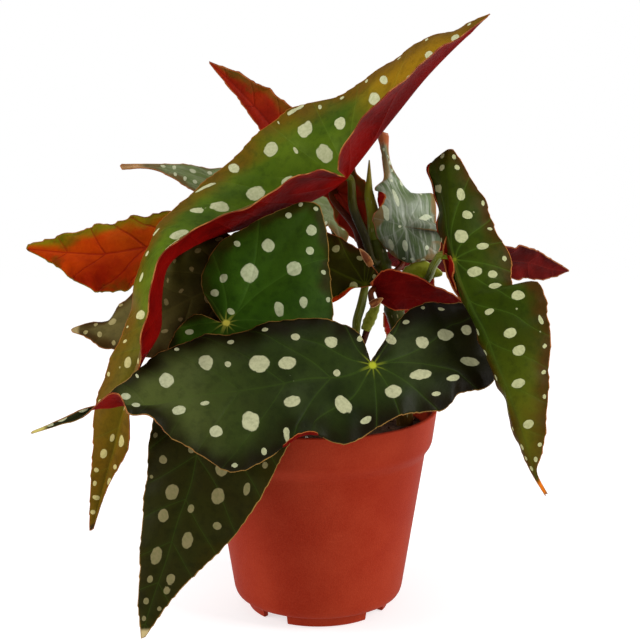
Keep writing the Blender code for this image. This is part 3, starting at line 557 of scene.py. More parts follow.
# %% [markdown]
# ## The parts of one blade
#
# A begonia blade is lopsided. It is given as rows from the tip of the lobe to the drip tip. A row has
# three places: the long unbroken margin, the middle vein, and the margin on the side where the notch
# is. The place of the stalk is one of the rows, and there the notch runs in to the stalk, so that
# margin turns sharply.
#
# From those rows the blade gets what makes it look grown: it bulges up between the veins and sinks
# along them, its margin waves up and down, and the margin has small uneven teeth. The fold at the
# middle vein is soft, not a crease.

# %% Shape of one blade
ROW_STEP = 1.4
COLUMN_STEP = 1.45
BLADE_ARCH = 0.07
BLADE_THICKNESS = 0.5
RUFFLE_START = 2.2
TOOTH_STEP = 7.5
TOOTH_HEIGHT = 0.6
TOOTH_SHARPNESS = 1.6
VEIN_DEPTH = 0.28
VEIN_WIDTH = 2.2
PILLOW_HEIGHT = 0.32
PILLOW_WIDTH = 7
SWELL_HEIGHT = 0.35
SWELL_STEPS = (8.3, 6.9)
BODY_WIDTH = 16
FOLD_WIDTH = 2.6
FOLD_SOFTNESS = 0.8
FOLD_ROUNDS = 5
ROLL_START = 7
ROLL_TURN = 0.6


def cross_rows(sections, stalk):
    """Rows close together, from the few given ones: stations, whole margin, middle vein, notched margin."""
    whole, rib, notched = (np.array([row[k] for row in sections], float) for k in range(3))
    stations = stations_of(rib)
    spans = zip(stations, stations[1:])
    at = np.concatenate([np.linspace(a, b, max(3, round((b - a) / ROW_STEP) + 1)) for a, b in spans])
    at = np.unique(at.round(6))
    return (at - stations[stalk], smooth_rail(whole, stations, at), smooth_rail(rib, stations, at),
            broken_rail(notched, stations, at, stalk))


def waves(length, seed, step):
    """An uneven wave along a margin, between about -1.5 and 1.5."""
    chance = np.random.default_rng(seed)
    first, second, third = chance.uniform(0, 2 * np.pi, 3)
    return (np.sin(2 * np.pi * length / step + first) + 0.5 * np.sin(3.77 * np.pi * length / step + second)
            + 0.35 * np.sin(0.9 * np.pi * length / step + third))


class Blade:
    """The middle layer of a leaf, as rows and columns of points, and where each lies on the flat leaf."""

    def __init__(self, sections, stalk, top, ruffle, wave_step, seed, relief, teeth):
        self.top = top
        at, whole, rib, notched = cross_rows(sections, stalk)
        widest = max(np.linalg.norm(whole - rib, axis=1).max(), np.linalg.norm(notched - rib, axis=1).max())
        half = int(np.clip(round(widest / COLUMN_STEP), 10, 44))
        t = np.linspace(-1, 1, 2 * half + 1)
        on_whole = (t < 0)[None, :, None]
        along = unit(np.gradient(rib, at, axis=0))[:, None]
        offset = np.where(on_whole, whole[:, None], notched[:, None]) - rib[:, None]
        width = np.linalg.norm(offset, axis=2)
        share = np.broadcast_to(np.abs(t), width.shape)
        outward = unit(offset)
        forward = (offset * along).sum(2)
        across = np.sqrt(np.maximum(width**2 - forward**2, 0))
        self.flat = np.stack([at[:, None] + forward * share, across * share * np.sign(t)], axis=2)
        self.half_width = np.broadcast_to(np.maximum(width[:, :1], width[:, -1:]), width.shape)
        self.from_margin = width * (1 - share)
        self.from_tip = np.broadcast_to((at[-1] - at)[:, None], width.shape)
        self.from_lobe = np.broadcast_to((at - at[0])[:, None], width.shape)
        self.margin = np.minimum(self.from_margin, np.minimum(self.from_tip, self.from_lobe))
        self.veins = vein_distance(self.flat[..., 0], self.flat[..., 1])
        up = self.up_ways(along, offset, width, on_whole, top, share)
        length = np.where(t[None] < 0, stations_of(whole)[:, None], stations_of(notched)[:, None])
        wave = np.where(t[None] < 0, waves(length, seed, wave_step), waves(length, seed + 50, wave_step))
        body = fade(width, 1, BODY_WIDTH)
        lift = ruffle * wave * body * share**RUFFLE_START
        inside = fade(self.margin, 0.5, 5)
        lift = lift - relief * VEIN_DEPTH * inside * (1 - fade(self.veins, 0, VEIN_WIDTH))
        lift = lift + relief * PILLOW_HEIGHT * inside * fade(self.veins, 0.5, PILLOW_WIDTH)
        swell = (np.sin(self.flat[..., 0] / SWELL_STEPS[0] + seed)
                 * np.sin(self.flat[..., 1] / SWELL_STEPS[1] + 2 * seed))
        lift = lift + SWELL_HEIGHT * swell * inside
        bite = np.mod(length / TOOTH_STEP + 0.35 * waves(length, seed + 9, 31), 1)
        bites = teeth * TOOTH_HEIGHT * bite**TOOTH_SHARPNESS * share**8 * fade(width, 0.5, 5)
        arch = width * BLADE_ARCH * np.sin(np.pi * share) + lift
        points = rib[:, None] + offset * share[..., None] + outward * bites[..., None] + up * arch[..., None]
        soft = np.exp(-(self.flat[..., 1] / FOLD_WIDTH) ** 2)[:, 1:-1, None] * FOLD_SOFTNESS
        for _ in range(FOLD_ROUNDS):
            middle = (points[:, :-2] + points[:, 2:]) / 2
            points[:, 1:-1] += (middle - points[:, 1:-1]) * soft
        self.points, self.at, self.columns = points, at, t
        self.outward, self.up, self.width = outward, up, width

    def roll_margin(self, side, start, end, reach, hem, height, inner=0.55):
        """Rolls one margin over onto the top side, from the station start to end. side is -1 for the
        unbroken margin. The roll bulges out past the old margin by reach, and the hem lies back over it and
        stands up."""
        share = np.clip((self.columns * side - inner) / (1 - inner), 0, 1)[None]
        there = (fade(self.at, start, start + ROLL_START) * fade(self.at, end, end - ROLL_START))[:, None]
        strip = self.width * (1 - inner)
        outmost = np.maximum(strip + reach, 0.5)
        over = np.sin(np.minimum(share / ROLL_TURN, 1) * np.pi / 2) * outmost
        hem_share = np.clip((share - ROLL_TURN) / (1 - ROLL_TURN), 0, 1)
        back = outmost - hem * (1 - np.cos(hem_share * np.pi / 2))
        moved = (np.where(share < ROLL_TURN, over, back) - strip * share) * (share > 0) * there
        rise = height * there * fade(share, 0.35, 0.85)
        hem_margin = np.maximum(self.margin, (1 - share) * (outmost + hem) * there)
        self.margin = np.where(share > 0, hem_margin, self.margin)
        self.points = self.points + self.outward * moved[..., None] + self.up * rise[..., None]

    def up_ways(self, along, offset, width, on_whole, top, share):
        """The way up from the blade. The two halves' ways blend into each other over the middle vein."""
        half = np.where(on_whole, 1, -1)
        way = unit(np.cross(along, -offset)) * top * half
        whole_way, notched_way = way[:, :1], way[:, -1:]
        trust = fade(width[:, -1:, None], 1, 6)
        notched_way = unit(whole_way * (1 - trust) + notched_way * trust)
        trust = fade(width[:, :1, None], 1, 6)
        whole_way = unit(notched_way * (1 - trust) + whole_way * trust)
        lean = 0.5 - 0.5 * fade(share, 0, 0.35)
        lean = np.where(on_whole[..., 0], lean, 1 - lean)[..., None]
        return unit(whole_way * (1 - lean) + notched_way * lean)


# %% [markdown]
# ## Where the spots are
#
# Spots grow between the veins, never on one. They are large in the middle of the blade and get small
# towards the margin and the tips. A few large ones on the leaves that face the front have set places;
# the rest are drawn by lot, with a fixed seed, and a spot is only kept where it has room.

# %% Spots drawn by lot
SMALLEST_SPOT = 0.75
GROWTH_FROM_MARGIN = 0.14
ROOM_AT_MARGIN = 1.0
ROOM_AT_VEIN = 0.3


def draw_spots(blade, main_spots, gap, largest, seed):
    """Rows of (along, across, half its length, half its width), in millimetres on the flat leaf."""
    chance = np.random.default_rng(seed)
    flat = blade.flat.reshape(-1, 2)
    margin, veins, half_width = blade.margin.ravel(), blade.veins.ravel(), blade.half_width.ravel()
    spots = [list(spot) for spot in main_spots]
    for place in chance.permutation(len(flat)):
        stretch, size = chance.uniform(0.8, 1.25), chance.uniform(0.45, 1.0)
        radius = min(largest * size, SMALLEST_SPOT + GROWTH_FROM_MARGIN * margin[place])
        if margin[place] < radius + ROOM_AT_MARGIN or veins[place] < 0.7 * radius + ROOM_AT_VEIN:
            continue
        placed = np.array(spots).reshape(-1, 4)
        away = np.hypot(*(placed[:, :2] - flat[place]).T)
        others = placed[:, 2:].max(axis=1)
        wanted = others + radius + gap * (0.3 + 0.7 * fade(half_width[place], 3, 20)) * (0.4 + 0.6 * size)
        if (away > np.maximum(wanted, 1.5 * (others + radius))).all():
            spots.append([*flat[place], radius * stretch, radius / stretch])
    return np.array(spots)


def spot_values(blade, spots):
    """For each point of the blade, the way to the middle of its nearest spot, in spot radii."""
    ways = (blade.flat.reshape(-1, 1, 2) - spots[None, :, :2]) / spots[None, :, 2:]
    away = np.linalg.norm(ways, axis=2)
    nearest = away.argmin(axis=1)
    rows = np.arange(len(nearest))
    return np.column_stack([ways[rows, nearest], away[rows, nearest]])


# %% [markdown]
# ## Leaf materials
#
# Each has three: its upper side, its underside, and its cut edge. The colours differ from leaf to
# leaf as they do on the plant: young leaves are olive and bronze, old ones dark green. On some a
# silvery sheen is painted into the colour.

# %% Looks of the leaves
def rgb(red, green, blue):
    """A colour given as 0 to 255, as a paint chart has it, turned into what a shader takes."""
    linear = [((value / 255 + 0.055) / 1.055) ** 2.4 for value in (red, green, blue)]
    return (*linear, 1)


USUAL_SHEEN = dict(Streaks=0.0, Smooth=0.2)
UPPER_LOOKS = {
    "olive": dict(
        Blade=rgb(82, 104, 16), Shade=rgb(58, 80, 11), Far=rgb(95, 74, 6), Far_Start=80.0, Far_End=185.0,
        PaintedSheen=rgb(90, 108, 22), PaintedSheen_Share=0.4, BronzeAndShade=rgb(96, 66, 5), BronzeAndShade_Reach=18.0,
        Vein=rgb(96, 118, 30), Vein_Strength=0.25, Spot=rgb(190, 190, 150), Far_Spot=rgb(186, 172, 112),
        Heart=rgb(140, 100, 24), Heart_Reach=1.5, Margin=rgb(150, 82, 34), Tip=rgb(60, 44, 16),
        Tip_Length=5.0,
        Lobe=rgb(138, 102, 10), Lobe_Share=1.0),
    # The dark front leaf: its margin band is a near-black painted shade, and towards its tip it turns
    # lighter and greyer, a painted sheen.
    "dark green": dict(
        Blade=rgb(38, 50, 15), Shade=rgb(24, 32, 8), Far=rgb(78, 86, 38), Far_Start=35.0, Far_End=130.0,
        PaintedSheen=rgb(56, 66, 34), PaintedSheen_Share=0.7, BronzeAndShade=rgb(20, 13, 1), BronzeAndShade_Reach=14.0,
        Vein=rgb(60, 82, 24), Vein_Strength=0.3, Spot=rgb(178, 178, 138), Far_Spot=rgb(178, 180, 144),
        Heart=rgb(160, 166, 40), Heart_Reach=2.4, Margin=rgb(140, 104, 50), Tip=rgb(196, 180, 100),
        Tip_Length=9.0, Lobe=rgb(24, 20, 1), Lobe_Share=0.9, Streaks=0.0, Smooth=0.6),
    "drooping green": dict(
        Blade=rgb(49, 80, 12), Shade=rgb(34, 59, 6), Far=rgb(34, 26, 4), Far_Start=8.0, Far_End=50.0,
        PaintedSheen=rgb(56, 84, 21), PaintedSheen_Share=0.3, BronzeAndShade=rgb(40, 36, 3), BronzeAndShade_Reach=6.0,
        Vein=rgb(64, 96, 27), Vein_Strength=0.3, Spot=rgb(170, 176, 138), Far_Spot=rgb(124, 114, 78),
        Heart=rgb(190, 180, 70), Heart_Reach=2.0, Margin=rgb(140, 104, 50), Tip=rgb(190, 170, 120),
        Tip_Length=6.0, Lobe=rgb(42, 58, 8), Lobe_Share=0.5),
    "mid green": dict(
        Blade=rgb(34, 62, 10), Shade=rgb(20, 38, 5), Far=rgb(42, 46, 8), Far_Start=30.0, Far_End=110.0,
        PaintedSheen=rgb(50, 76, 24), PaintedSheen_Share=0.4, BronzeAndShade=rgb(48, 32, 4), BronzeAndShade_Reach=8.0,
        Vein=rgb(62, 94, 28), Vein_Strength=0.4, Spot=rgb(174, 178, 140), Far_Spot=rgb(168, 168, 126),
        Heart=rgb(180, 182, 66), Heart_Reach=2.4, Margin=rgb(150, 108, 56), Tip=rgb(190, 170, 120),
        Tip_Length=6.0, Lobe=rgb(44, 50, 8), Lobe_Share=0.3),
    "fresh green": dict(
        Blade=rgb(44, 58, 3), Shade=rgb(34, 44, 2), Far=rgb(104, 102, 18), Far_Start=30.0, Far_End=120.0,
        PaintedSheen=rgb(58, 72, 12), PaintedSheen_Share=0.4, BronzeAndShade=rgb(62, 36, 2), BronzeAndShade_Reach=13.0,
        Vein=rgb(70, 96, 26), Vein_Strength=0.35, Spot=rgb(178, 180, 134), Far_Spot=rgb(176, 174, 124),
        Heart=rgb(110, 120, 24), Heart_Reach=1.2, Margin=rgb(160, 100, 50), Tip=rgb(214, 110, 16),
        Tip_Length=8.0, Lobe=rgb(52, 56, 6), Lobe_Share=0.4),
    # These two looks paint a silvery sheen into the colour, in patches and streaks.
    "painted sheen green": dict(
        Blade=rgb(90, 108, 66), Shade=rgb(66, 82, 46), Far=rgb(104, 100, 46), Far_Start=20.0, Far_End=60.0,
        PaintedSheen=rgb(156, 162, 144), PaintedSheen_Share=0.5, BronzeAndShade=rgb(118, 92, 46), BronzeAndShade_Reach=2.5,
        Vein=rgb(160, 166, 150), Vein_Strength=0.2, Spot=rgb(190, 196, 164), Far_Spot=rgb(186, 190, 156),
        Heart=rgb(110, 120, 84), Heart_Reach=0.1, Margin=rgb(176, 106, 70), Tip=rgb(150, 76, 34),
        Tip_Length=8.0, Lobe=rgb(128, 118, 84), Lobe_Share=0.5, Streaks=0.8, Smooth=1.0),
    "painted sheen streaked": dict(
        Blade=rgb(100, 118, 62), Shade=rgb(80, 94, 48), Far=rgb(112, 122, 78), Far_Start=40.0, Far_End=110.0,
        PaintedSheen=rgb(140, 146, 112), PaintedSheen_Share=0.4, BronzeAndShade=rgb(104, 84, 44), BronzeAndShade_Reach=4.0,
        Vein=rgb(150, 156, 120), Vein_Strength=0.2, Spot=rgb(186, 190, 156), Far_Spot=rgb(190, 192, 156),
        Heart=rgb(110, 120, 84), Heart_Reach=0.1, Margin=rgb(170, 110, 60), Tip=rgb(180, 136, 90),
        Tip_Length=14.0, Lobe=rgb(110, 116, 70), Lobe_Share=0.3, Streaks=0.5, Smooth=0.8),
    "dark olive": dict(
        Blade=rgb(55, 54, 1), Shade=rgb(38, 35, 1), Far=rgb(48, 32, 2), Far_Start=12.0, Far_End=40.0,
        PaintedSheen=rgb(60, 68, 12), PaintedSheen_Share=0.4, BronzeAndShade=rgb(50, 28, 2), BronzeAndShade_Reach=5.0,
        Vein=rgb(74, 82, 10), Vein_Strength=0.4, Spot=rgb(168, 164, 110), Far_Spot=rgb(140, 126, 76),
        Heart=rgb(76, 80, 10), Heart_Reach=1.2, Margin=rgb(170, 84, 40), Tip=rgb(110, 60, 24),
        Tip_Length=5.0, Lobe=rgb(44, 46, 4), Lobe_Share=0.3),
    "brown green": dict(
        Blade=rgb(62, 52, 16), Shade=rgb(42, 34, 8), Far=rgb(92, 82, 44), Far_Start=14.0, Far_End=55.0,
        PaintedSheen=rgb(72, 72, 26), PaintedSheen_Share=0.4, BronzeAndShade=rgb(52, 32, 6), BronzeAndShade_Reach=7.0,
        Vein=rgb(86, 78, 34), Vein_Strength=0.3, Spot=rgb(130, 116, 72), Far_Spot=rgb(150, 138, 92),
        Heart=rgb(120, 104, 40), Heart_Reach=1.6, Margin=rgb(140, 90, 44), Tip=rgb(150, 130, 86),
        Tip_Length=5.0, Lobe=rgb(46, 34, 6), Lobe_Share=0.4),
}
UNDER_LOOKS = {
    "wine red": dict(
        Red=rgb(112, 10, 2), Deep=rgb(72, 3, 1), Rib=rgb(136, 30, 14), Rib_Strength=0.2,
        Glow=rgb(150, 22, 4), Glow_Share=0.35, Glow_Side=1.0, Margin=rgb(160, 90, 44)),
    "maroon": dict(
        Red=rgb(84, 10, 8), Deep=rgb(52, 5, 5), Rib=rgb(108, 30, 24), Rib_Strength=0.25,
        Glow=rgb(108, 22, 12), Glow_Share=0.25, Glow_Side=1.0, Margin=rgb(140, 84, 50)),
    "bright red": dict(
        Red=rgb(108, 7, 2), Deep=rgb(72, 2, 1), Rib=rgb(132, 26, 14), Rib_Strength=0.12,
        Glow=rgb(86, 9, 3), Glow_Share=0.4, Glow_Side=-1.0, Margin=rgb(180, 80, 40)),
    "lit orange": dict(
        Red=rgb(198, 58, 3), Deep=rgb(158, 22, 4), Rib=rgb(140, 14, 8), Rib_Strength=0.55,
        Glow=rgb(202, 88, 6), Glow_Share=0.8, Glow_Side=-1.0, Margin=rgb(130, 110, 20),
        Edge=rgb(112, 124, 8), Edge_Share=0.85, Edge_Reach=9.0, Patch=rgb(72, 72, 8), Patch_Share=0.55),
    "red and green": dict(
        Red=rgb(138, 22, 4), Deep=rgb(100, 7, 2), Rib=rgb(84, 8, 3), Rib_Strength=0.4,
        Glow=rgb(160, 54, 8), Glow_Share=0.5, Glow_Side=-1.0, Margin=rgb(150, 80, 36),
        Edge=rgb(88, 74, 10), Edge_Share=0.6, Edge_Reach=7.0, Patch=rgb(66, 58, 8), Patch_Share=0.7),
    "rose red": dict(
        Red=rgb(112, 6, 2), Deep=rgb(78, 2, 1), Rib=rgb(130, 22, 10), Rib_Strength=0.2,
        Glow=rgb(120, 16, 8), Glow_Share=0.3, Glow_Side=-1.0, Margin=rgb(160, 80, 30)),
}


USUAL_GLOSS = 0.03
GLOSSY = {"painted sheen green": 0.2, "painted sheen streaked": 0.12, "dark green": 0.05}


def upper_side(look):
    material, nodes, shader = new_material(f"{look} upper side", specular=GLOSSY.get(look, USUAL_GLOSS))
    finish_material(nodes, shader, nodes.group(upper_group, **{**USUAL_SHEEN, **UPPER_LOOKS[look]}), 0.0004)
    return material


def underside(look):
    material, nodes, shader = new_material(f"{look} underside", specular=0.02)
    finish_material(nodes, shader, nodes.group(under_group, **UNDER_LOOKS[look]), 0.0005)
    return material


def cut_edge():
    material, nodes, shader = new_material("leaf margin", roughness=0.5)
    blotches = nodes.fade(nodes.noise(nodes.place(), 130, 3.0), 0.40, 0.62)
    colour = nodes.mix(blotches, rgb(160, 100, 50), rgb(110, 42, 16))
    nodes.feed(shader.inputs["Base Color"], colour)
    return material


upper_sides = {look: upper_side(look) for look in UPPER_LOOKS}
undersides = {look: underside(look) for look in UNDER_LOOKS}
margin_material = cut_edge()
print(len(upper_sides), "upper sides and", len(undersides), "undersides")

# %% [markdown]
# ## From rows to a leaf
#
# The blade's points are laid into one sheet, the sheet is made half a millimetre thick, and its two
# sides and its rim take their own materials. The sheet keeps the flat map and the distances that the
# materials read.

# %% Leaf maker
blades = {}


def add_leaf(node, name, slot, sections, stalk, top, upper, under, main_spots=(), gap=9.0, largest=3.6,
             ruffle=1.2, wave_step=21.0, seed=1, relief=1.0, teeth=1.0, rolls=()):
    blade = Blade(sections, stalk, top, ruffle, wave_step, seed, relief, teeth)
    for roll in rolls:
        blade.roll_margin(*roll)
    leaf = add_sheet(name, blade.points, turn_round=top == 1)
    flat = blade.flat.reshape(-1, 2)
    spots = draw_spots(blade, main_spots, gap, largest, seed)
    add_point_values(leaf, "margin", blade.margin.ravel())
    add_point_values(leaf, "tip", blade.from_tip.ravel())
    add_point_values(leaf, "spot", spot_values(blade, spots))
    add_flat_map(leaf, "blade", flat * MM)
    for material in (upper_sides[upper], undersides[under], margin_material):
        leaf.data.materials.append(material)
    leaf.data.shade_smooth()
    solid = leaf.modifiers.new("Thickness", "SOLIDIFY")
    solid.thickness = BLADE_THICKNESS * MM
    solid.offset = 0
    solid.material_offset = 1
    solid.material_offset_rim = 2
    apply_modifiers(leaf)
    blades[node] = blade
    keep(leaf, node, slot=slot)
    print("   ", len(spots), "spots")
    return leaf

# %% [markdown]
# ## The largest leaf
#
# It rises over the top of the plant, bends over and hangs down to the left in a long drip tip. It is
# olive with bronze patches along its margin. Its near half is turned away and shows the red underside.

# %% Leaf over the top
add_leaf(
    "leaf_top_arching", "olive_arching_leaf", "leaf_olive", upper="olive", under="rose red",
    gap=12.0, largest=4.0, ruffle=0.7, wave_step=34.0, seed=11, relief=0.6,
    stalk=6, top=1, sections=[
        ((80, -22, 298), (79, -22, 297), (78, -23, 296)),
        ((65, -8, 291), (67, -22, 285), (64, -31, 287)),
        ((47, 6, 283), (52, -22, 269), (47, -44, 276)),
        ((26, 15, 268), (38, -20, 251), (33, -50, 263)),
        ((7, 20, 257), (25, -16, 234), (17, -48, 248)),
        ((-3, 22, 254), (19, -13, 226), (9, -38, 229)),
        ((-13, 22, 252), (14, -10, 220), (13, -12, 221)),
        ((-20, 22, 247), (8, -9, 214), (5, -36, 226)),
        ((-31, 20, 238), (-6, -8, 206), (-7, -52, 227)),
        ((-45, 16, 225), (-27, -14, 197), (-22, -64, 218)),
        ((-60, 6, 213), (-46, -25, 194), (-40, -72, 211)),
        ((-72, -8, 203), (-59, -38, 190), (-56, -78, 204)),
        ((-81, -22, 191), (-69, -54, 183), (-67, -82, 196)),
        ((-86, -34, 175), (-71, -62, 169), (-73, -84, 181)),
        ((-90, -46, 154), (-71, -66, 158), (-77, -86, 163)),
        ((-98, -54, 137), (-80, -67, 142), (-79, -84, 148)),
        ((-103, -59, 120), (-88, -67, 123), (-85, -76, 128)),
        ((-105, -62, 97), (-95, -64, 99), (-88, -69, 101)),
        ((-107, -61, 74), (-101, -62, 80), (-98, -64, 82)),
        ((-108, -60, 59), (-107, -60, 59), (-106, -60, 60)),
    ],
    main_spots=[
        (2, -35, 2, 4), (28, -36, 2, 4), (1, -17, 3, 5), (45, -39, 3, 4), (43, -18, 5, 4),
        (27, -15, 3, 3), (69, -20, 2, 3), (62, -17, 3, 4), (-15, -25, 3, 4), (-37, -20, 3, 5),
        (-47, -25, 2, 4), (-71, -10, 2, 3), (-85, -5, 2, 3), (86, -10, 4, 3), (106, -6, 2, 2),
        (124, -5, 2, 3), (130, -15, 3, 4), (160, -7, 2, 2), (195, -2, 2, 1), (194, 4, 3, 1.5),
        (204, -4, 2.5, 1.5), (216, 3, 2, 1),
    ],
)

# %% [markdown]
# ## The wide leaf across the front
#
# The oldest and darkest leaf. It lies across the front, over the rim of the pot. Its lobe is folded
# over on the right and its tip is twisted on the left, so there the red underside shows as narrow
# folds.

# %% Leaf across the front
add_leaf(
    "leaf_front_wide", "dark_front_leaf", "leaf_dark_green", upper="dark green", under="wine red",
    gap=11.5, largest=3.6, ruffle=0.9, wave_step=26.0, seed=23, relief=0.45,
    rolls=[(-1, 22, 48, 0.5, 1.6, 1.0, 0.8)],
    stalk=5, top=-1, sections=[
        ((86, -44, 132), (87, -38, 137), (86, -34, 145)),
        ((77, -56, 127), (76, -46, 141), (74, -32, 161)),
        ((65, -64, 127), (65, -50, 143), (63, -31, 163)),
        ((58, -70, 121), (56, -55, 143), (53, -34, 163)),
        ((45, -75, 121), (44, -59, 142), (42, -40, 160)),
        ((30, -80, 117), (25, -67, 141), (24, -65, 142)),
        ((13, -86, 109), (12, -72, 137), (18, -56, 154)),
        ((-5, -90, 115), (-5, -75, 136), (-1, -56, 160)),
        ((-21, -95, 106), (-21, -79, 134), (-21, -58, 159)),
        ((-37, -99, 100), (-35, -83, 133), (-39, -62, 154)),
        ((-51, -100, 108), (-49, -87, 132), (-55, -64, 153)),
        ((-64, -100, 116), (-61, -91, 131), (-69, -74, 149)),
        ((-74, -100, 126), (-73, -94, 129), (-80, -82, 143)),
        ((-83, -101, 128), (-82, -97, 130), (-85, -90, 139)),
        ((-85, -106, 136), (-86, -99, 130), (-89, -94, 137)),
        ((-89, -109, 138), (-91, -100, 129), (-92, -97, 134)),
        ((-95, -106, 133), (-96, -100, 129), (-96, -100, 131)),
        ((-101, -103, 127), (-101, -101, 128), (-101, -102, 130)),
        ((-113, -101, 122), (-113, -101, 123), (-112, -102, 125)),
        ((-125, -100, 118), (-126, -100, 118), (-125, -100, 119)),
    ],
    main_spots=[
        (75, 16, 3, 4), (66, 13, 1.5, 1.5), (52, 11, 4.5, 4), (39, 9, 4, 3), (94, 10, 3, 3.5),
        (114, 4, 2, 1.5), (110, 0, 2, 1), (92, -5, 3, 2), (80, -4, 2, 1), (61, -15, 4, 4.5),
        (77, -17, 3, 2.5), (32, 21, 2, 2), (19, 17, 3, 3), (0, 15, 2.5, 2), (-13, 11, 2, 3),
        (-27, 7, 3, 3), (-40, 9, 4, 3), (-49, 11, 2, 2.5), (-49, -5, 5, 2.5), (-21, -9, 5.5, 2.5),
        (-36, -13, 4.5, 1.5), (-5, -15, 4.5, 3), (-26, -19, 2, 1), (15, -22, 2.5, 1.5), (19, -13, 2, 4),
        (133, 2, 2, 1.5), (143, 2, 2.5, 1.5), (149, 1, 1.5, 1),
    ],
)

# %% [markdown]
# ## The leaf that hangs in front of the pot
#
# Its lobe stands up in the middle of the plant, and from the stalk on it hangs straight down before the
# pot.

# %% Leaf hanging on the left
add_leaf(
    "leaf_front_drooping", "drooping_front_leaf", "leaf_green", upper="drooping green", under="maroon",
    gap=12.0, largest=3.4, ruffle=0.8, wave_step=25.0, seed=37, relief=0.5,
    stalk=5, top=-1, sections=[
        ((1, -22, 208), (-2, -22, 210), (-9, -23, 210)),
        ((4, -26, 194), (-9, -29, 200), (-20, -28, 206)),
        ((5, -29, 182), (-19, -35, 187), (-33, -32, 200)),
        ((6, -33, 169), (-29, -41, 173), (-49, -37, 189)),
        ((7, -38, 157), (-37, -47, 163), (-54, -41, 171)),
        ((6, -44, 143), (-43, -50, 157), (-45, -50, 157)),
        ((2, -52, 129), (-47, -53, 147), (-57, -45, 160)),
        ((-5, -64, 118), (-51, -58, 132), (-68, -49, 149)),
        ((-13, -69, 105), (-53, -63, 115), (-75, -54, 126)),
        ((-20, -71, 92), (-56, -67, 100), (-78, -59, 104)),
        ((-28, -73, 77), (-59, -70, 85), (-80, -63, 85)),
        ((-42, -74, 58), (-65, -72, 68), (-82, -67, 67)),
        ((-56, -75, 44), (-70, -73, 51), (-83, -70, 48)),
        ((-68, -75, 31), (-76, -74, 34), (-84, -72, 29)),
        ((-81, -75, 12), (-83, -75, 11), (-83, -75, 12)),
    ],
    main_spots=[
        (-60, -6, 2.5, 2.5), (-42, 6, 3, 3), (-26, 6, 4.5, 4), (-17, 14.5, 2.2, 1.8), (-8, 13.5, 2.2, 2),
        (-52, -11, 2, 2), (-40, -10, 3.5, 3.5), (-30, -22, 2, 2), (-21, -14, 2, 2.5), (68, 15, 2, 2),
        (83, 7, 4, 3), (67, -13, 3, 3), (78, -14, 3, 3), (73, -26, 2.5, 1.5), (95, 7, 3, 2.5),
        (87, -4, 2, 1.5), (90, -18, 2, 2), (102, -7, 4, 2.5), (114, 5, 4.5, 2.5), (122, -5, 2.5, 2),
        (128, -5, 2, 1.5),
    ],
)

# %% [markdown]
# ## The leaf that hangs on the right
#
# A fresh green leaf with a bronze margin. It hangs down beside the pot and its tip is a bright orange
# point. At its stalk a flap of the lobe is folded back behind it, and shows its red underside as a
# narrow band on the left.

# %% Leaf hanging on the right
add_leaf(
    "leaf_right_hanging", "folded_back_flap", "leaf_green", upper="dark olive", under="wine red",
    gap=30.0, ruffle=0.3, wave_step=18.0, seed=43, relief=0.3,
    stalk=1, top=-1, sections=[
        ((60.5, -39, 197.5), (61, -38.5, 197), (61.5, -38, 196.5)),
        ((58.6, -40, 191.7), (61.3, -39.5, 191.5), (63.8, -37, 191.2)),
        ((58.9, -41, 184.3), (62.5, -40.5, 184), (65.8, -38, 183.8)),
        ((61.2, -43, 176.1), (65, -42.5, 175.8), (68.6, -40, 175.5)),
        ((65.8, -46, 168.5), (68.5, -45.5, 168.2), (71.2, -43, 168)),
        ((69.9, -48, 164.6), (70.7, -47.5, 164.4), (71.4, -46, 164.2)),
    ],
)
add_leaf(
    "leaf_right_hanging", "right_hanging_leaf", "leaf_green", upper="fresh green", under="wine red",
    gap=10.0, largest=3.2, ruffle=0.9, wave_step=22.0, seed=41, relief=0.6,
    rolls=[(1, -52, -8, 2.2, 2.2, 1.2), (1, -12, 27, 5.0, 5.0, 1.6)],
    stalk=5, top=-1, sections=[
        ((64, -20, 235), (62, -20, 235), (60, -20, 234)),
        ((71, -22, 224), (61, -26, 228), (54, -16, 227)),
        ((78, -26, 213), (61, -32, 217), (57, -16, 218)),
        ((82, -31, 203), (61, -37, 206), (59, -20, 205)),
        ((85, -35, 194), (61, -41, 196), (59, -28, 194)),
        ((90, -39, 187), (63, -45, 186), (62, -45, 186)),
        ((91.6, -44, 172.9), (67, -51, 173), (64, -47, 178)),
        ((93.2, -46, 173.8), (68, -52.2, 170.8), (65, -46, 175.3)),
        ((96.5, -48.5, 176.5), (69, -53.6, 168.4), (66, -45, 172.5)),
        ((101.6, -49, 176.2), (70, -54.8, 166.2), (67, -44, 169.7)),
        ((103.7, -51, 172.3), (71, -56, 164), (68, -43, 167)),
        ((106, -53, 162), (76, -61, 155), (74, -49, 154)),
        ((107, -58, 152), (81, -65, 142), (79, -54, 140)),
        ((106, -63, 134), (87, -69, 128), (86, -59, 124)),
        ((105, -67, 117), (92, -71, 114), (89, -63, 113)),
        ((103, -70, 100), (97, -72, 100), (95, -67, 98)),
        ((101, -71, 90), (101, -72, 88), (100, -70, 88)),
        ((106, -72, 81), (105, -72, 81), (105, -72, 80)),
    ],
    main_spots=[
        (-46, 3, 1.5, 1.5), (-32, -6, 3, 2), (-22, -9, 2, 2.5), (-11, -6, 3.5, 3), (-4, -15, 2, 3),
        (8, -8, 2.5, 3.5), (11, -16, 2, 2.5), (18, -15, 2, 3.5), (28, -22, 3, 3), (30, -7, 1.5, 2),
        (-37, 8, 2, 3), (42, -11, 2, 3), (51, -12, 2.5, 3), (65, -6, 2, 3), (84, -4, 2, 2.5),
    ],
)

# %% [markdown]
# ## The young leaves in the middle
#
# Younger blades are still twisted and have not spread yet. One has a silvery sheen painted into its
# colour, one shows its red back to the front, and a small dark one is half hidden behind them.

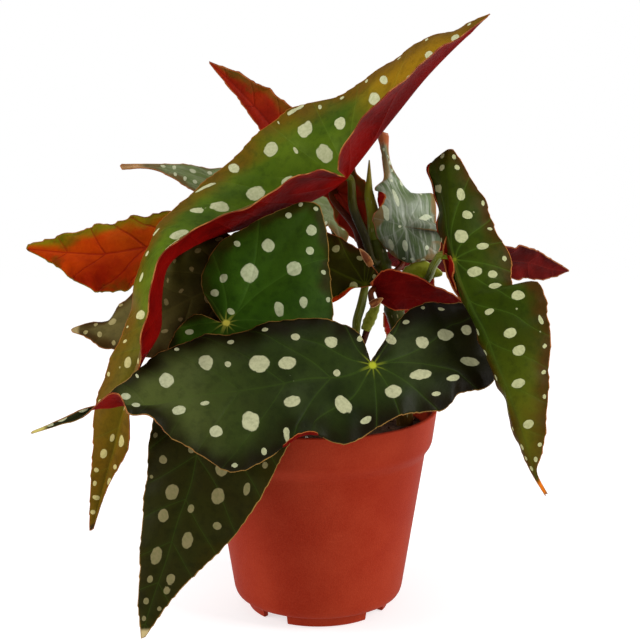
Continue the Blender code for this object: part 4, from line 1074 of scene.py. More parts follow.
# %% Twisted leaf with a painted silvery sheen, red leaf and small dark leaf
add_leaf(
    "leaf_glossy_twisted", "twisted_leaf_painted_sheen", "leaf_grey_green", upper="painted sheen green", under="wine red",
    gap=7.5, largest=1.5, ruffle=0.7, wave_step=17.0, seed=53, relief=0.3,
    rolls=[(-1, 4, 20, 0.5, 4.0, 1.6)],
    stalk=4, top=-1, sections=[
        ((42, -7, 179), (46, -8, 178), (50, -7, 180)),
        ((35, -4, 183), (45, -9, 183), (57, -6, 180)),
        ((29, -4, 191), (44, -9, 190), (60, -3, 188)),
        ((27.5, -6, 198), (43, -7.3, 195.2), (59, -3, 194)),
        ((27, -6, 199), (43, -7, 196), (44, -7, 196)),
        ((27, -6.5, 200), (43, -6.7, 196.8), (58.5, -9, 194)),
        ((28, -8, 204), (42, -5, 201), (58, 4, 196)),
        ((29, -6, 210), (41, -2, 207), (58, 10, 209)),
        ((28, -4, 215), (38, 2, 214), (49, 10, 209)),
        ((32, 2, 218), (36, 4, 220), (42, 8, 215)),
        ((32, 4, 226), (34, 2, 228), (36, 5, 225)),
        ((29, 2, 241), (31, 0, 242), (34, 1, 241)),
    ],
    main_spots=[
        (15, -3, 5, 1.4), (7, -9, 3.5, 1.2), (-8, -9, 3.5, 1.3), (-9, -2, 3, 1.3), (3, 10, 1.3, 2.5),
        (6, 14, 1.2, 3.2),
    ],
)
add_leaf(
    "leaf_red_centre", "red_centre_leaf", "leaf_red", upper="dark olive", under="bright red",
    gap=7.0, largest=2.8, ruffle=0.5, wave_step=18.0, seed=59, relief=0.2,
    stalk=1, top=1, sections=[
        ((25, -24, 171), (26, -22, 169), (27, -21, 167)),
        ((28, -27, 175), (27, -22, 168), (27, -22, 168)),
        ((31, -30, 178), (31, -24, 167), (30, -19, 161)),
        ((37, -32, 179), (37, -24, 166), (36, -16, 157)),
        ((46, -31, 176), (45, -22, 164), (45, -13, 156)),
        ((55, -28, 171), (56, -19, 161), (57, -10, 150)),
        ((67, -23, 164), (68, -14, 155), (70, -6, 145)),
        ((80, -16, 154), (83, -9, 146), (86, -4, 140)),
        ((96, -6, 136), (97, -5, 135), (97, -4, 135)),
    ],
)
add_leaf(
    "leaf_small_centre", "small_dark_leaf", "leaf_dark_olive", upper="dark olive", under="lit orange",
    gap=12.0, largest=1.8, ruffle=0.8, wave_step=15.0, seed=61, relief=0.5,
    rolls=[(1, 2, 24, 0.8, 2.6, 1.5, 0.4)],
    stalk=1, top=1, sections=[
        ((30, -14, 173), (29, -15, 171), (29, -16, 169)),
        ((25, -12, 179), (23, -16, 169), (23, -17, 168)),
        ((20, -9, 185), (17, -15, 171), (16, -18, 167)),
        ((13, -7, 189), (12, -14, 173), (12, -18, 164)),
        ((5, -5, 193), (6, -13, 176), (6, -19, 161)),
        ((-3, -4, 193), (-2, -12, 178), (0, -19, 161)),
        ((-10, -5, 189), (-9, -10, 180), (-7, -13, 173)),
        ((-17, -8, 183), (-17, -8, 182), (-17, -8, 181)),
    ],
    main_spots=[(5, 3, 2, 2.5), (21, -10, 1.5, 2)],
)

# %% [markdown]
# ## The leaves at the back and the sides
#
# They point up, left and right behind the others. The orange one is lit from behind, so its thin blade
# glows. Two leaves at the very back fill the plant out there, as stalks grow all round the canes.

# %% Back and side leaves
add_leaf(
    "leaf_red_upper_left", "red_upper_leaf", "leaf_red", upper="brown green", under="red and green",
    gap=8.0, largest=3.4, ruffle=1.1, wave_step=19.0, seed=67, relief=0.6, teeth=1.5,
    stalk=2, top=-1, sections=[
        ((26, 4, 197), (24, 10, 189), (20, 16, 185)),
        ((25, 4, 210), (17, 14, 199), (12, 22, 192)),
        ((19, 8, 222), (9, 20, 210), (4, 28, 206)),
        ((7, 15, 234), (-6, 27, 221), (-11, 35, 214)),
        ((-7, 24, 246), (-18, 34, 235), (-24, 41, 229)),
        ((-23, 33, 259), (-32, 41, 251), (-35, 46, 247)),
        ((-40, 40, 268), (-44, 45, 263), (-46, 48, 261)),
        ((-56, 46, 274), (-56, 47, 274), (-56, 47, 273)),
    ],
)
add_leaf(
    "leaf_grey_back", "grey_back_leaf", "leaf_grey_green", upper="painted sheen streaked", under="maroon",
    gap=8.0, largest=2.4, ruffle=0.9, wave_step=20.0, seed=71, relief=0.4,
    stalk=1, top=1, sections=[
        ((18, 50, 198), (18, 42, 190), (14, 36, 180)),
        ((6, 54, 212), (6, 43, 196), (5, 40, 190)),
        ((-10, 56, 223), (-13, 42, 200), (-15, 32, 182)),
        ((-32, 52, 223), (-33, 40, 206), (-36, 30, 188)),
        ((-50, 46, 219), (-53, 37, 212), (-55, 29, 202)),
        ((-70, 38, 222), (-72, 33, 219), (-72, 28, 215)),
        ((-86, 30, 223), (-86, 28, 222), (-85, 26, 221)),
        ((-99, 22, 224), (-100, 22, 223), (-99, 22, 221)),
    ],
)
add_leaf(
    "leaf_orange_left", "lit_orange_leaf", "leaf_orange", upper="mid green", under="lit orange",
    gap=8.0, largest=3.0, ruffle=1.2, wave_step=17.0, seed=73, teeth=1.8,
    stalk=2, top=-1, sections=[
        ((-54, 17, 195), (-54, 22, 188), (-55, 26, 182)),
        ((-58, 13, 202), (-60, 21, 187), (-62, 29, 174)),
        ((-64, 9, 203), (-67, 19, 186), (-70, 29, 169)),
        ((-76, 6, 201), (-80, 16, 184), (-81, 26, 165)),
        ((-92, 0, 199), (-94, 10, 182), (-94, 20, 162)),
        ((-105, -6, 197), (-107, 4, 181), (-107, 13, 160)),
        ((-118, -11, 194), (-118, -4, 183), (-119, 3, 166)),
        ((-130, -15, 191), (-130, -12, 185), (-130, -8, 178)),
        ((-140, -18, 189), (-141, -18, 187), (-140, -18, 186)),
    ],
)
add_leaf(
    "leaf_dark_left", "brown_left_leaf", "leaf_dark_olive", upper="brown green", under="maroon",
    gap=8.0, largest=2.4, ruffle=1.1, wave_step=18.0, seed=79,
    stalk=1, top=1, sections=[
        ((-35, -20, 189), (-30, -26, 175), (-29, -30, 162)),
        ((-46, -16, 195), (-41, -24, 172), (-43, -32, 149)),
        ((-62, -16, 189), (-59, -26, 165), (-60, -36, 141)),
        ((-75, -18, 180), (-74, -29, 158), (-75, -38, 137)),
        ((-86, -20, 169), (-86, -31, 155), (-88, -38, 140)),
        ((-95, -21, 161), (-96, -31, 153), (-96, -37, 142)),
        ((-101, -24, 153), (-103, -31, 151), (-103, -36, 142)),
        ((-110, -26, 152), (-110, -30, 150), (-110, -33, 146)),
        ((-118, -28, 150), (-119, -28, 149), (-118, -29, 148)),
    ],
)
add_leaf(
    "leaf_maroon_right", "maroon_right_leaf", "leaf_maroon", upper="mid green", under="maroon",
    gap=8.0, largest=3.4, ruffle=1.2, wave_step=18.0, seed=83,
    stalk=1, top=1, sections=[
        ((33, 8, 180), (34, 12, 177), (35, 17, 173)),
        ((40, 9, 184), (41, 17, 177), (42, 25, 170)),
        ((58, 17, 184), (59, 27, 175), (61, 37, 166)),
        ((79, 26, 184), (80, 37, 174), (82, 48, 162)),
        ((99, 42, 179), (101, 51, 170), (103, 61, 159)),
        ((113, 55, 176), (114, 61, 167), (116, 68, 157)),
        ((126, 68, 168), (126, 72, 162), (128, 76, 156)),
        ((138, 80, 160), (138, 80, 159), (137, 80, 159)),
    ],
)
add_leaf(
    "leaf_back_left", "back_left_leaf", "leaf_green", upper="mid green", under="wine red",
    gap=9.0, largest=4.0, ruffle=1.4, wave_step=22.0, seed=89,
    stalk=2, top=1, sections=[
        ((-6, 28, 178), (-11, 27, 180), (-16, 27, 178)),
        ((8, 40, 173), (-13, 38, 175), (-30, 32, 171)),
        ((13, 56, 165), (-18, 51, 167), (-20, 51, 167)),
        ((10, 76, 152), (-26, 70, 156), (-49, 61, 156)),
        ((0, 92, 126), (-36, 88, 132), (-64, 77, 132)),
        ((-20, 102, 98), (-46, 100, 103), (-69, 90, 104)),
        ((-44, 107, 72), (-57, 107, 75), (-68, 103, 76)),
        ((-65, 108, 53), (-66, 108, 52), (-67, 108, 53)),
    ],
)
add_leaf(
    "leaf_back_right", "back_right_leaf", "leaf_green", upper="fresh green", under="wine red",
    gap=8.5, largest=3.6, ruffle=1.3, wave_step=20.0, seed=97,
    stalk=1, top=1, sections=[
        ((60, 39, 165), (55, 37, 167), (50, 35, 165)),
        ((65, 55, 144), (54, 46, 152), (52, 45, 152)),
        ((80, 63, 134), (58, 64, 140), (37, 60, 141)),
        ((83, 79, 115), (62, 82, 120), (38, 78, 122)),
        ((75, 93, 95), (63, 96, 97), (45, 92, 99)),
        ((66, 101, 82), (60, 103, 82), (52, 101, 83)),
        ((59, 106, 69), (58, 106, 68), (57, 106, 69)),
    ],
)

# %% [markdown]
# ## Canes and stalks
#
# A cane is a round stem with a swollen ring wherever a leaf stalk grew. It is green at the top and
# turns brown and woody towards the soil, with small pale pores. A leaf stalk is thinner, yellow-green
# to red, faintly ribbed along its length, and widens a little where it leaves the cane. Each is one
# tube: a sheet rolled up and sewn along its seam, with the ends closed. They start inside the cane and
# end inside the blade, so no gap shows.

# %% A tube rolled from a sheet
def frames_along(path):
    """At each place of the path, two ways square to it, turning as little as they can."""
    ways = unit(np.gradient(path, axis=0))
    side = unit(np.cross(ways[0], (0.13, 1.0, 0.21)))
    sides = []
    for way in ways:
        side = unit(side - way * (side @ way))
        sides.append(side)
    sides = np.array(sides)
    return sides, np.cross(ways, sides)


def add_tube(name, path, radii, around, bulge=None):
    """Radii are in millimetres. bulge(turn, length) multiplies the radius round the tube."""
    length = stations_of(path)
    turn = np.linspace(0, 2 * np.pi, around + 1)
    radius = radii[:, None] * np.ones(around + 1)
    if bulge:
        radius = radius * bulge(turn[None], length[:, None])
    radius[:, -1] = radius[:, 0]
    first, second = frames_along(path)
    ring = np.cos(turn)[None, :, None] * first[:, None] + np.sin(turn)[None, :, None] * second[:, None]
    tube = add_sheet(name, path[:, None] + ring * radius[..., None])
    share = np.broadcast_to((length / length[-1])[:, None], radius.shape)
    add_point_values(tube, "length", np.broadcast_to(length[:, None], radius.shape).ravel())
    add_point_values(tube, "share", share.ravel())
    skin = np.stack(np.broadcast_arrays(turn[None] / (2 * np.pi), length[:, None] * 0.01), axis=2)
    add_flat_map(tube, "skin", skin.reshape(-1, 2))
    close_up(tube, 1e-6, outwards=False)
    tube.data.shade_smooth()
    return tube


def even_steps(points, values, step):
    """A smooth path through the points at even steps, with the values that belong to them."""
    stations = stations_of(points)
    at = np.linspace(0, stations[-1], round(stations[-1] / step) + 1)
    return smooth_rail(points, stations, at), smooth_rail(values[:, None], stations, at)[:, 0]


# %% Skin of stems as a node group
nodes, given, result = new_group("stem skin", [
    ("Foot", COLOUR), ("Middle", COLOUR), ("Top", COLOUR), ("Streak", COLOUR), ("Streak Strength", NUMBER),
    ("Pores", COLOUR), ("Pore Strength", NUMBER),
], [("Color", COLOUR), ("Roughness", NUMBER), ("Height", NUMBER)])
share = nodes.add("ShaderNodeAttribute", attribute_name="share").outputs["Fac"]
skin_map = nodes.add("ShaderNodeUVMap", uv_map="skin").outputs["UV"]
stretched = nodes.add("ShaderNodeMapping")
stretched.inputs["Scale"].default_value = (9, 2.2, 1)
nodes.feed(stretched.inputs["Vector"], skin_map)
clouds = nodes.noise(nodes.place(), 90, 3.0)
upwards = nodes.uneven(share, clouds, 0.35)
colour = nodes.mix(nodes.fade(upwards, 0.02, 0.45), given["Foot"], given["Middle"])
colour = nodes.mix(nodes.fade(upwards, 0.55, 0.95), colour, given["Top"])
streaks = nodes.noise(stretched.outputs["Vector"], 3.0, 3.0, 0.6)
colour = nodes.mix(nodes.math("MULTIPLY", nodes.fade(streaks, 0.46, 0.66), given["Streak Strength"]), colour,
                   given["Streak"])
flecked = nodes.add("ShaderNodeMapping")
flecked.inputs["Scale"].default_value = (14, 16, 1)
nodes.feed(flecked.inputs["Vector"], skin_map)
pores = nodes.fade(nodes.cells(flecked.outputs["Vector"], 1.0), 0.22, 0.12)
colour = nodes.mix(nodes.math("MULTIPLY", pores, given["Pore Strength"]), colour, given["Pores"])
nodes.feed(result["Color"], colour)
nodes.feed(result["Roughness"], nodes.math("MULTIPLY_ADD", clouds, 0.25, 0.26))
nodes.feed(result["Height"], nodes.math("MULTIPLY_ADD", pores, 0.5, nodes.math("MULTIPLY", streaks, 0.6)))
skin_group = nodes.tree


def stem_skin(name, **colours):
    material, nodes, shader = new_material(name)
    finish_material(nodes, shader, nodes.group(skin_group, **colours), 0.0004)
    return material


# %% Canes
CANES = {
    "cane_main": [
        (44, 4, 80, 4.2), (44, 4, 100, 4.3), (43, 3, 125, 4.1), (41, 2, 141, 4.2), (38, 1, 153, 4.7),
        (34, 0, 165, 4.0), (31, 0, 177, 4.8), (29, 0, 184, 4.2), (28, 0, 191, 3.8),
    ],
    "cane_front": [
        (12, -10, 80, 3.8), (11, -10, 100, 3.8), (12, -11, 118, 4.2), (14, -12, 134, 3.7),
        (16, -12, 144, 3.9),
    ],
    "cane_back": [
        (-18, 10, 80, 4.0), (-20, 12, 105, 4.0), (-22, 14, 128, 4.4), (-21, 15, 150, 3.7),
        (-17, 16, 170, 4.1), (-12, 17, 184, 3.0),
    ],
}
JOINT_HEIGHTS = {
    "cane_main": (107, 122, 140, 154, 166, 176, 184),
    "cane_front": (103, 116, 127, 139),
    "cane_back": (108, 124, 133, 152, 161, 172),
}
RING_HEIGHT = 0.45
RING_LENGTH = 1.5
CANE_SIDES = 28
cane_skin = stem_skin(
    "cane skin", Foot=rgb(84, 58, 20), Middle=rgb(46, 50, 3), Top=rgb(56, 62, 2), Streak=rgb(60, 40, 8),
    Streak_Strength=0.45, Pores=rgb(140, 128, 86), Pore_Strength=0.8)
cane_paths = {}
for node, rows in CANES.items():
    rows = np.array(rows, float)
    path, radii = even_steps(rows[:, :3], rows[:, 3], 0.9)
    for height in JOINT_HEIGHTS[node]:
        above = path[:, 2] - height
        radii = radii + RING_HEIGHT * np.exp(-(above / RING_LENGTH) ** 2)
        radii = radii - 0.3 * np.exp(-((above - 2.2) / 0.8) ** 2)
    radii[-3:] *= (0.93, 0.75, 0.4)
    cane_paths[node] = path
    cane = add_tube(node.replace("cane", "stem"), path, radii, CANE_SIDES)
    cane.data.materials.append(cane_skin)
    keep(cane, node, slot="cane_green")

# %% [markdown]
# The youngest leaf is still rolled into a spear on top of the main cane. The edge of the roll winds
# round it once as a small step.

# %% Rolled young leaf
GROWING_TIP = np.array([
    (28, 0, 189.0, 3.7), (27, 0, 201, 3.1), (25, 0, 211, 2.3), (25, 0, 219, 1.3), (25, 0, 228, 0.3),
])


def rolled(turn, length):
    return 0.93 + 0.16 * np.mod(turn / (2 * np.pi) + length / 45, 1)


path, radii = even_steps(GROWING_TIP[:, :3], GROWING_TIP[:, 3], 0.7)
spear = add_tube("rolled_young_leaf", path, radii, 30, rolled)
spear.data.materials.append(stem_skin(
    "rolled leaf skin", Foot=rgb(84, 96, 8), Middle=rgb(112, 116, 20), Top=rgb(110, 92, 28),
    Streak=rgb(96, 70, 20), Streak_Strength=0.5, Pores=rgb(196, 190, 130), Pore_Strength=0.3))
keep(spear, "growing_tip", slot="stalk_green")

# %% [markdown]
# ## Leaf stalks
#
# Each starts square to its cane and ends square to the underside of its blade. They differ in colour:
# most are yellow-green above and olive or reddish below.

# %% Leaf stalks
STALKS = {
    "leaf_top_arching": ("cane_main", 179, [(23, -6, 191), (17, -8, 206)], 2.2),
    "leaf_right_hanging": (
        "cane_main", 154, [(46, -6, 160), (53, -14, 171), (56, -28, 182), (59, -37, 187)], 1.9),
    "leaf_glossy_twisted": ("cane_main", 184, [(35, 5, 190)], 1.6),
    "leaf_red_upper_left": ("cane_main", 175, [(22, 6, 183), (19, 9, 192)], 1.7),
    "leaf_maroon_right": ("cane_main", 166, [(38, 9, 170)], 1.6),
    "leaf_back_right": ("cane_main", 140, [(47, 14, 144), (52, 30, 146)], 1.8),
    "leaf_small_centre": ("cane_front", 141, [(19, -15, 151), (21, -17, 159)], 2.2),
    "leaf_red_centre": ("cane_front", 138, [(24, -14, 146), (27, -18, 157)], 1.7),
    "leaf_front_wide": ("cane_front", 116, [(15, -30, 120), (20, -50, 126)], 2.3),
    "leaf_front_drooping": ("cane_back", 124, [(-30, -8, 131), (-40, -32, 146)], 2.2),
    "leaf_orange_left": ("cane_back", 152, [(-36, 16, 162), (-54, 18, 176)], 1.8),
    "leaf_dark_left": ("cane_back", 133, [(-34, -4, 144), (-40, -14, 160)], 1.8),
    "leaf_grey_back": ("cane_back", 172, [(-6, 20, 176), (6, 30, 178), (9, 46, 184)], 1.7),
    "leaf_back_left": ("cane_back", 160, [(-17, 32, 160), (-18, 44, 162)], 1.9),
}
STALK_LOOKS = {
    "olive": dict(Foot=rgb(48, 44, 2), Middle=rgb(33, 28, 1), Top=rgb(70, 68, 2), Streak=rgb(66, 62, 6),
                  Pores=rgb(150, 146, 84)),
    "green": dict(Foot=rgb(84, 88, 12), Middle=rgb(96, 104, 16), Top=rgb(120, 126, 40),
                  Streak=rgb(150, 160, 100), Pores=rgb(200, 200, 150)),
    "red": dict(Foot=rgb(66, 30, 6), Middle=rgb(76, 18, 6), Top=rgb(92, 40, 10), Streak=rgb(90, 50, 14),
                Pores=rgb(170, 120, 90)),
}
stalk_skins = {look: stem_skin(f"{look} stalk skin", Streak_Strength=0.5, Pore_Strength=0.25, **colours)
               for look, colours in STALK_LOOKS.items()}
STALK_COLOURS = {
    "leaf_small_centre": "green", "leaf_front_wide": "green", "leaf_right_hanging": "green",
    "leaf_red_centre": "red", "leaf_maroon_right": "red", "leaf_red_upper_left": "red",
    "leaf_orange_left": "red",
}


def junction(blade):
    """Where the stalk meets the blade, and the way up from the blade there."""
    row = int(np.abs(blade.flat[:, blade.flat.shape[1] // 2, 0]).argmin())
    middle = blade.points.shape[1] // 2
    along = blade.points[row + 1, middle] - blade.points[row - 1, middle]
    aside = blade.points[row, middle] - blade.points[row, middle - 4]
    return blade.points[row, middle], unit(np.cross(along, aside)) * blade.top


STALK_STEP = 1.0
STALK_SIDES = 20
for leaf, (cane, height, way, radius) in STALKS.items():
    cane_path = cane_paths[cane]
    foot = int(np.abs(cane_path[:, 2] - height).argmin())
    middle = cane_path[foot]
    upright = unit(cane_path[foot + 1] - cane_path[foot - 1])
    out = np.array(way[0]) - middle
    out = unit(out - upright * (out @ upright))
    place, up = junction(blades[leaf])
    points = np.array([middle + out * 2, middle + out * 5, *way, place - up * 3.5, place - up * 0.15])
    radii = np.full(len(points), radius)
    radii[0] *= 1.35
    radii[-2:] = radius * 0.8, radius * 0.75
    path, radii = even_steps(points, radii, STALK_STEP)
    stalk = add_tube(leaf.replace("leaf", "stalk"), path, radii, STALK_SIDES)
    stalk.data.materials.append(stalk_skins[STALK_COLOURS.get(leaf, "olive")])
    keep(stalk, leaf.replace("leaf", "petiole"), slot="stalk_green")

# %% [markdown]
# ## Bracts
#
# Where a stalk leaves its cane the plant has a pair of thin pointed scales. Young ones are pale green,
# old ones dry and turn papery and orange. Each is a thin leaf-like sheet, cupped towards the stem.

# %% Papery bracts
STIPULES = {
    "stipule_right_hanging": [(43, -8, 170), (51, -8, 174), (61, -9, 173), 5.5, (0, -1, 0)],
    "stipule_centre_spear": [(23, -20, 147), (26, -23, 155), (30, -25, 164), 2.8, (0, -1, 0)],
    "stipule_centre_short": [(25, -28, 161), (28, -29, 163), (31, -30, 165), 1.8, (0, -1, 0.2)],
    "stipule_main_orange": [(26, -15, 178), (23, -17, 183), (20, -18, 187), 1.8, (0.2, -1, 0)],
    "stipule_back_upper": [(-22, 21, 166), (-24, 25, 174), (-24, 27, 182), 2.4, (-0.5, 1, 0)],
    "stipule_back_lower": [(-28, 18, 128), (-32, 21, 135), (-34, 22, 143), 2.4, (-0.7, 0.7, 0)],
}
BRACT_THICKNESS = 0.28
DRY_BRACTS = ("stipule_main_orange", "stipule_back_lower", "stipule_centre_short")
nodes, given, result = new_group("papery bract", [
    ("Base", COLOUR), ("Edge", COLOUR), ("Stain", COLOUR),
], [("Color", COLOUR), ("Height", NUMBER)])
place = nodes.place()
from_edge = nodes.add("ShaderNodeAttribute", attribute_name="margin").outputs["Fac"]
stains = nodes.fade(nodes.noise(place, 160, 3.0, 0.6), 0.46, 0.66)
colour = nodes.mix(stains, given["Base"], given["Stain"])
colour = nodes.mix(nodes.fade(from_edge, 0.5, 0.0), colour, given["Edge"])
nodes.feed(result["Color"], colour)
nodes.feed(result["Height"], nodes.noise(place, 500, 3.0))
bract_group = nodes.tree


def bract_material(name, base, edge, stain):
    material, nodes, shader = new_material(name, roughness=0.5)
    made = nodes.group(bract_group, Base=base, Edge=edge, Stain=stain)
    finish_material(nodes, shader, made, 0.0003)
    return material


fresh_bract = bract_material("fresh bract", rgb(132, 138, 40), rgb(196, 200, 150), rgb(104, 110, 14))
dry_bract = bract_material("dry bract", rgb(176, 110, 58), rgb(206, 160, 110), rgb(110, 56, 28))
for node, (foot, middle, point, half_width, facing) in STIPULES.items():
    spine = np.array([foot, middle, point], float)
    path, _ = even_steps(spine, np.zeros(3), 0.6)
    share = np.linspace(0, 1, len(path))
    ways = unit(np.gradient(path, axis=0))
    facing = unit(np.array(facing, float))
    aside = unit(np.cross(ways, facing))
    width = half_width * (0.12 + 0.88 * np.sin(np.pi * (0.25 + 0.75 * share)) ** 0.9)
    t = np.linspace(-1, 1, 13)
    ragged = 1 + 0.07 * np.sin(share * 31 + 3 * foot[0])[:, None] * (np.abs(t) > 0.9)
    across = (width[:, None] * t * ragged)[..., None] * aside[:, None]
    cup = (width[:, None] * 0.5 * t**2)[..., None] * facing
    bract = add_sheet(node.replace("stipule", "bract"), path[:, None] + across - cup)
    add_point_values(bract, "margin", (width[:, None] * (1 - np.abs(t))).ravel())
    bract.data.materials.append(dry_bract if node in DRY_BRACTS else fresh_bract)
    bract.data.shade_smooth()
    solid = bract.modifiers.new("Thickness", "SOLIDIFY")
    solid.thickness = BRACT_THICKNESS * MM
    solid.offset = 0
    apply_modifiers(bract)
    keep(bract, node, slot="bract")

# %% [markdown]
# ## Nursery pot
#
# The pot is moulded in one piece from thin coloured plastic: a wide collar, a tapered body, a flat
# bottom on a foot ring. Four gaps in the foot ring and four holes in the bottom let the water out. Such
# a pot is matt with a fine grain from its mould, and gets pale rub marks in use.

# %% Pot turned from its outline
POT_OUTSIDE = [
    (59.1, 104.0), (59.7, 103.9), (60.0, 103.4), (59.9, 102.9), (57.9, 88.2), (57.7, 87.2), (57.1, 85.6),
    (56.4, 84.6), (54.9, 82.2), (54.5, 81.5), (54.1, 80.4), (54.0, 79.6), (43.5, 12.0), (43.2, 10.3),
    (42.6, 8.4), (41.8, 7.1), (40.8, 6.4), (39.6, 6.2), (38.2, 6.2), (37.2, 5.8), (36.8, 5.0), (36.1, 0.8),
    (35.9, 0.2), (35.4, 0.0),
]
POT_INSIDE = [
    (33.0, 0.0), (33.0, 6.2), (20.0, 6.2), (0.4, 6.2), (0.4, 7.6), (20.0, 7.6), (36.0, 7.6), (39.4, 9.2),
    (42.0, 13.2), (52.7, 80.9), (53.6, 83.6), (55.2, 86.0), (56.3, 90.0), (57.8, 103.4), (58.4, 103.95),
]
POT_SIDES = 180
outline = np.array(POT_OUTSIDE + POT_INSIDE + POT_OUTSIDE[:1], float)
turn = np.linspace(0, 2 * np.pi, POT_SIDES + 1)
radius, height = outline[::-1, 0], outline[::-1, 1]
rings = np.stack([radius[:, None] * np.cos(turn), radius[:, None] * np.sin(turn),
                  height[:, None] + 0 * turn], axis=2)
pot = add_sheet("moulded_pot", rings)
close_up(pot, 2e-5)


def cut_away(obj, cutter):
    boolean = obj.modifiers.new("Cut", "BOOLEAN")
    boolean.object = cutter
    boolean.operation = "DIFFERENCE"
    apply_modifiers(obj)
    bpy.data.objects.remove(cutter)


FIRST_GAP = 53
GAP_DISTANCE = 37
GAP_SIZE = (15.0, 16.0, 8.0)
HOLE_DISTANCE = 26
HOLE_RADIUS = 3.5
for quarter in range(4):
    bearing = math.radians(FIRST_GAP + 90 * quarter)
    reach = Vector((math.sin(bearing), -math.cos(bearing), 0))
    bpy.ops.object.select_all(action="DESELECT")
    bpy.ops.mesh.primitive_cube_add(
        size=MM, location=reach * GAP_DISTANCE * MM + Vector((0, 0, 2 * MM)), rotation=(0, 0, bearing))
    gap = bpy.context.object
    gap.scale = GAP_SIZE
    cut_away(pot, gap)
    bpy.ops.mesh.primitive_cylinder_add(
        vertices=32, radius=HOLE_RADIUS * MM, depth=8 * MM,
        location=reach * HOLE_DISTANCE * MM + Vector((0, 0, 7 * MM)))
    cut_away(pot, bpy.context.object)
bpy.ops.object.select_all(action="DESELECT")
select_only(pot)
bpy.ops.object.shade_smooth_by_angle(angle=math.radians(32))

# %% Matt plastic with rub marks
nodes, given, result = new_group("matt plastic", [
    ("Plastic", COLOUR), ("Pale", COLOUR), ("Rub Strength", NUMBER),
], [("Color", COLOUR), ("Roughness", NUMBER), ("Height", NUMBER)])
place = nodes.place()
clouds = nodes.noise(place, 22, 4.0, 0.6)
grain = nodes.noise(place, 1400, 2.0, 0.7)
stretched = nodes.add("ShaderNodeMapping")
stretched.inputs["Rotation"].default_value = (0.4, 0.2, 0.6)
stretched.inputs["Scale"].default_value = (26, 26, 240)
nodes.feed(stretched.inputs["Vector"], place)
scratches = nodes.fade(nodes.noise(stretched.outputs["Vector"], 1.0, 4.0, 0.7), 0.63, 0.72)
worn = nodes.fade(nodes.noise(place, 34, 2.0), 0.52, 0.66)
rubs = nodes.math("MULTIPLY", nodes.math("MULTIPLY", scratches, worn), given["Rub Strength"])
colour = nodes.mix(nodes.fade(clouds, 0.35, 0.7, 0.0, 0.16), given["Plastic"], given["Pale"])
colour = nodes.mix(nodes.fade(grain, 0.3, 0.8, 0.0, 0.14), colour, given["Pale"])
colour = nodes.mix(rubs, colour, given["Pale"])
nodes.feed(result["Color"], colour)
nodes.feed(result["Roughness"], nodes.math("MULTIPLY_ADD", clouds, 0.14, 0.50))
nodes.feed(result["Height"], grain)
plastic_group = nodes.tree
pot_material, nodes, shader = new_material("matt terracotta plastic", specular=0.04)
made = nodes.group(plastic_group, Plastic=rgb(134, 33, 12), Pale=rgb(192, 84, 52), Rub_Strength=0.2)
finish_material(nodes, shader, made, 0.00012)
pot.data.materials.append(pot_material)
keep(pot, "nursery_pot", slot="terracotta_plastic")

# %% [markdown]
# ## Potting soil
#
# Peat soil: a dark crumbly surface, a little lower than the rim, with loose crumbs, bits of bark and a
# few white grains of perlite lying on it. The crumbs are small round bodies with few faces, pressed out
# of shape.

# %% Bed of soil
SOIL_RADIUS = 55.4
SOIL_LEVEL = 93.0
RINGS, SIDES = 40, 120
LUMP_SIZE = 12.0
LUMP_HEIGHT = 1.1
radius = np.linspace(0.05, SOIL_RADIUS, RINGS)
turn = np.linspace(0, 2 * np.pi, SIDES + 1)
x, y = radius[:, None] * np.cos(turn), radius[:, None] * np.sin(turn)
lump = np.array([noise.fractal(Vector((a, b, 3.0)) / LUMP_SIZE, 0.8, 2.1, 5)
                 for a, b in zip(x.ravel(), y.ravel())])
z = SOIL_LEVEL + LUMP_HEIGHT * lump.reshape(x.shape)
z = z - 1.6 * fade(radius, SOIL_RADIUS - 6, SOIL_RADIUS)[:, None]
z[:, -1] = z[:, 0]
bed = np.stack([x, y, z], axis=2)
wall = bed[-1:] * (0.985, 0.985, 0) + (0, 0, 84)
soil = add_sheet("peat_bed", np.concatenate([wall, bed[::-1]]))
close_up(soil, 1e-6)
soil.data.shade_smooth()

peat_material, nodes, shader = new_material("moist peat", roughness=0.9)
place = nodes.place()
crumbs = nodes.noise(place, 300, 5.0, 0.7)
patches = nodes.noise(place, 70, 3.0)
colour = nodes.mix(nodes.fade(patches, 0.4, 0.65), rgb(42, 28, 20), rgb(66, 46, 32))
colour = nodes.mix(nodes.fade(crumbs, 0.45, 0.7), colour, rgb(88, 64, 44))
nodes.feed(shader.inputs["Base Color"], colour)
add_bump(nodes, shader, crumbs, 0.0016)
soil.data.materials.append(peat_material)

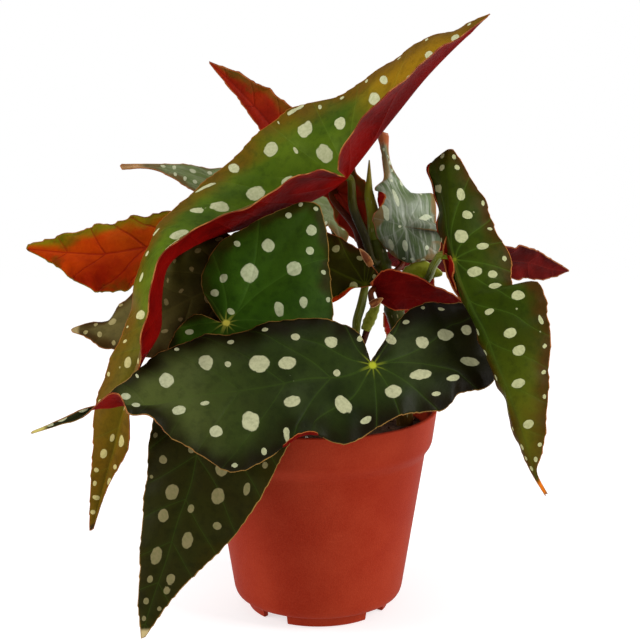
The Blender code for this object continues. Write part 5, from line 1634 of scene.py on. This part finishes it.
perlite_material, nodes, shader = new_material("perlite", roughness=0.8)
pits = nodes.cells(nodes.place(), 1800)
nodes.feed(shader.inputs["Base Color"], nodes.mix(
    nodes.fade(pits, 0.1, 0.5), rgb(226, 222, 210), rgb(176, 168, 152)))
add_bump(nodes, shader, pits, 0.0003)
bark_material, nodes, shader = new_material("bark bits", roughness=0.85)
fibres = nodes.noise(nodes.place(), 700, 4.0, 0.7)
nodes.feed(shader.inputs["Base Color"], nodes.mix(
    nodes.fade(fibres, 0.4, 0.65), rgb(58, 36, 22), rgb(116, 80, 50)))
add_bump(nodes, shader, fibres, 0.0004)

# %% Crumbs, bark and perlite on the soil
CRUMBS = 260
ROOM_ROUND_CANES = 7
CRUMB_SHAPE, BARK_SHAPE, PERLITE_SHAPE = (1.0, 0.7, 0.5), (1.5, 0.6, 0.3), (0.8, 0.7, 0.7)
chance = np.random.default_rng(5)
stems = np.array([(44, 4), (11, -10), (-20, 12)])
pieces = []
while len(pieces) < CRUMBS:
    turned, reach = chance.uniform(0, 2 * np.pi), SOIL_RADIUS * 0.95 * np.sqrt(chance.uniform())
    spot = np.array([reach * np.cos(turned), reach * np.sin(turned)])
    size, kind = chance.uniform(0.7, 2.0), chance.uniform()
    tilt = chance.uniform(0, 2 * np.pi, 3)
    if np.hypot(*(stems - spot).T).min() < ROOM_ROUND_CANES:
        continue
    level = bed[np.abs(radius - reach).argmin(), int(turned / (2 * np.pi) * SIDES), 2]
    bpy.ops.object.select_all(action="DESELECT")
    bpy.ops.mesh.primitive_ico_sphere_add(
        subdivisions=1, radius=size * MM, location=(*(spot * MM), (level + 0.2) * MM), rotation=tuple(tilt))
    crumb = bpy.context.object
    if kind < 0.7:
        crumb.scale, material = CRUMB_SHAPE, peat_material
    elif kind < 0.9:
        crumb.scale, material = BARK_SHAPE, bark_material
    else:
        crumb.scale, material = PERLITE_SHAPE, perlite_material
    crumb.data.materials.append(material)
    pieces.append(crumb)
bpy.ops.object.select_all(action="DESELECT")
for crumb in pieces:
    crumb.select_set(True)
bpy.context.view_layer.objects.active = pieces[0]
bpy.ops.object.transform_apply(location=True, rotation=True, scale=True)
soil.select_set(True)
bpy.context.view_layer.objects.active = soil
bpy.ops.object.join()
keep(soil, "potting_soil", slot="peat")
